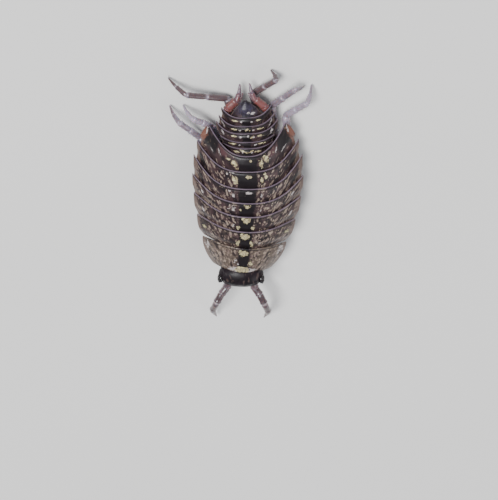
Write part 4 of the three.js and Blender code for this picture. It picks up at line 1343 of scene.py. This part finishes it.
@dataclass
class Uropod:
    """A branch of the tail: a stout base, a long outer branch and a slim inner one."""

    side: Side

    def build(self, looks: Looks) -> None:
        """Builds the three articles and their bristles."""
        s = float(SPINE.ends[12])
        sign = self.side.value

        def at(along: float, across: float, depth: float) -> Array:
            """A place beside the telson."""
            return SPINE.place(s + along, sign * across, depth)

        root = [at(0.08, 0.86, 0.7), at(0.36, 0.74, 0.58), at(0.68, 0.38, 0.46)]
        base = Limb(root, [0.15, 0.19, 0.17], 0.75)
        outer = Limb([at(0.58, 0.4, 0.48), at(0.96, 0.26, 0.43), at(1.36, 0.2, 0.38)], [0.12, 0.1, 0.03])
        inner = Limb([at(0.5, 0.32, 0.57), at(0.96, 0.12, 0.52)], [0.08, 0.03])
        skin = Skin.joined([base.skin([0.95, 0.9]), outer.skin([0.3, 0.0]), inner.skin([0.1])])
        name = f"uropod_{self.side.label}"
        piece = skin.to_object(f"branches_{name}", looks["uropods"])
        hairs = Bristles(60.0, 0.09, 0.005, 80 + sign, 0.8)
        hairs.dress(piece, name, looks)


@dataclass
class Studio:
    """Floor, soft light and the camera of the photograph."""

    tilt: float = 38.0
    roll: float = 1.3
    distance: float = 100.0
    pixels_per_mm: float = 23.9
    plate_pixel: tuple[float, float] = (247.0, 210.6)

    def build(self) -> None:
        """Builds the floor, the lights and the camera."""
        self.floor()
        self.lights()
        self.camera()

    def floor(self) -> None:
        """A plain pale floor at the feet."""
        half = 0.6
        corners = [(-half, -half, 0), (half, -half, 0), (half, half, 0), (-half, half, 0)]
        mesh = bpy.data.meshes.new("floor")
        mesh.from_pydata(corners, [], [(0, 1, 2, 3)])
        material = bpy.data.materials.new("floor")
        material.use_nodes = True
        nodes = Nodes(material.node_tree)
        shader = material.node_tree.nodes["Principled BSDF"]
        place = nodes.add("ShaderNodeTexCoord").outputs["Object"]
        cloud = nodes.noise(place, 60.0, 3.0)
        nodes.put(shader.inputs["Base Color"], nodes.blend(cloud, srgb(214, 213, 210), srgb(220, 219, 217)))
        shader.inputs["Roughness"].default_value = 0.9
        mesh.materials.append(material)
        link("floor", mesh)

    def lights(self) -> None:
        """One broad soft light above the tail, a weaker one ahead, and a pale sky."""
        world = bpy.data.worlds.new("studio")
        world.use_nodes = True
        background = world.node_tree.nodes["Background"]
        background.inputs["Color"].default_value = (0.86, 0.9, 1.0, 1)
        background.inputs["Strength"].default_value = 0.42
        bpy.context.scene.world = world
        for name, place, size, watts in (
            ("key", (-0.1, 0.12, 0.3), 0.14, 1.8),
            ("fill", (0.24, -0.12, 0.2), 0.2, 0.35),
        ):
            light = bpy.data.lights.new(name, "AREA")
            light.size = size
            light.energy = watts
            lamp = link(name, light)
            lamp.location = place
            lamp.rotation_euler = (-Vector(place)).to_track_quat("-Z", "Y").to_euler()

    def camera(self) -> None:
        """The camera: above and behind the tail, with the tail up in the picture."""
        tilt, roll = math.radians(self.tilt), math.radians(self.roll)
        back = Vector((0, math.sin(tilt), math.cos(tilt)))
        up = Vector((0, math.cos(tilt), -math.sin(tilt)))
        right = Vector((1, 0, 0))
        level_right = right * math.cos(roll) + up * math.sin(roll)
        level_up = up * math.cos(roll) - right * math.sin(roll)
        middle = float(SPINE.ends[3] + SPINE.ends[4]) / 2
        plate = SPINE.frame(middle)[0] + OFFSET
        shift_x = (FRAME_WIDTH / 2 - self.plate_pixel[0]) / self.pixels_per_mm
        shift_y = (self.plate_pixel[1] - FRAME_HEIGHT / 2) / self.pixels_per_mm
        aim = Vector(plate) + level_right * shift_x + level_up * shift_y
        data = bpy.data.cameras.new("camera")
        data.sensor_width = 36.0
        data.lens = self.distance * self.pixels_per_mm * data.sensor_width / FRAME_HEIGHT
        data.clip_start, data.clip_end = 0.005, 5.0
        camera = link("camera", data)
        turn = Matrix((level_right, level_up, back)).transposed().to_4x4()
        camera.matrix_world = Matrix.Translation((aim + back * self.distance) * MM) @ turn
        bpy.context.scene.camera = camera


def settle_offset() -> None:
    """Finds where the animal's own frame lies in the shared frame."""
    plate = ShellPlate(3, columns=19, rows=6)
    u, v = plate.grid()
    points = plate.surface(u, v, np.zeros_like(u)).reshape(-1, 3)
    low, high = (np.array(corner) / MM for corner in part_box("pereon_plate_4"))
    middle = (points.min(0) + points.max(0)) / 2
    OFFSET[:2] = ((low + high) / 2 - middle)[:2]


def main() -> None:
    """Builds the model piece by piece and the studio round it."""
    logging.basicConfig(level=logging.INFO, format="%(message)s")
    settle_offset()
    looks = Finishes().made
    Studio().build()
    for index in range(len(PLATES)):
        ShellPlate(index).build(looks)
    Head().build(looks)
    Underside().build(looks)
    for side in Side:
        hind = LEFT_HIND_LEGS if side is Side.LEFT else RIGHT_HIND_LEGS
        for path in FRONT_LEGS + hind:
            Leg(path, side).build(looks)
        Uropod(side).build(looks)


if __name__ == "__main__":
    main()
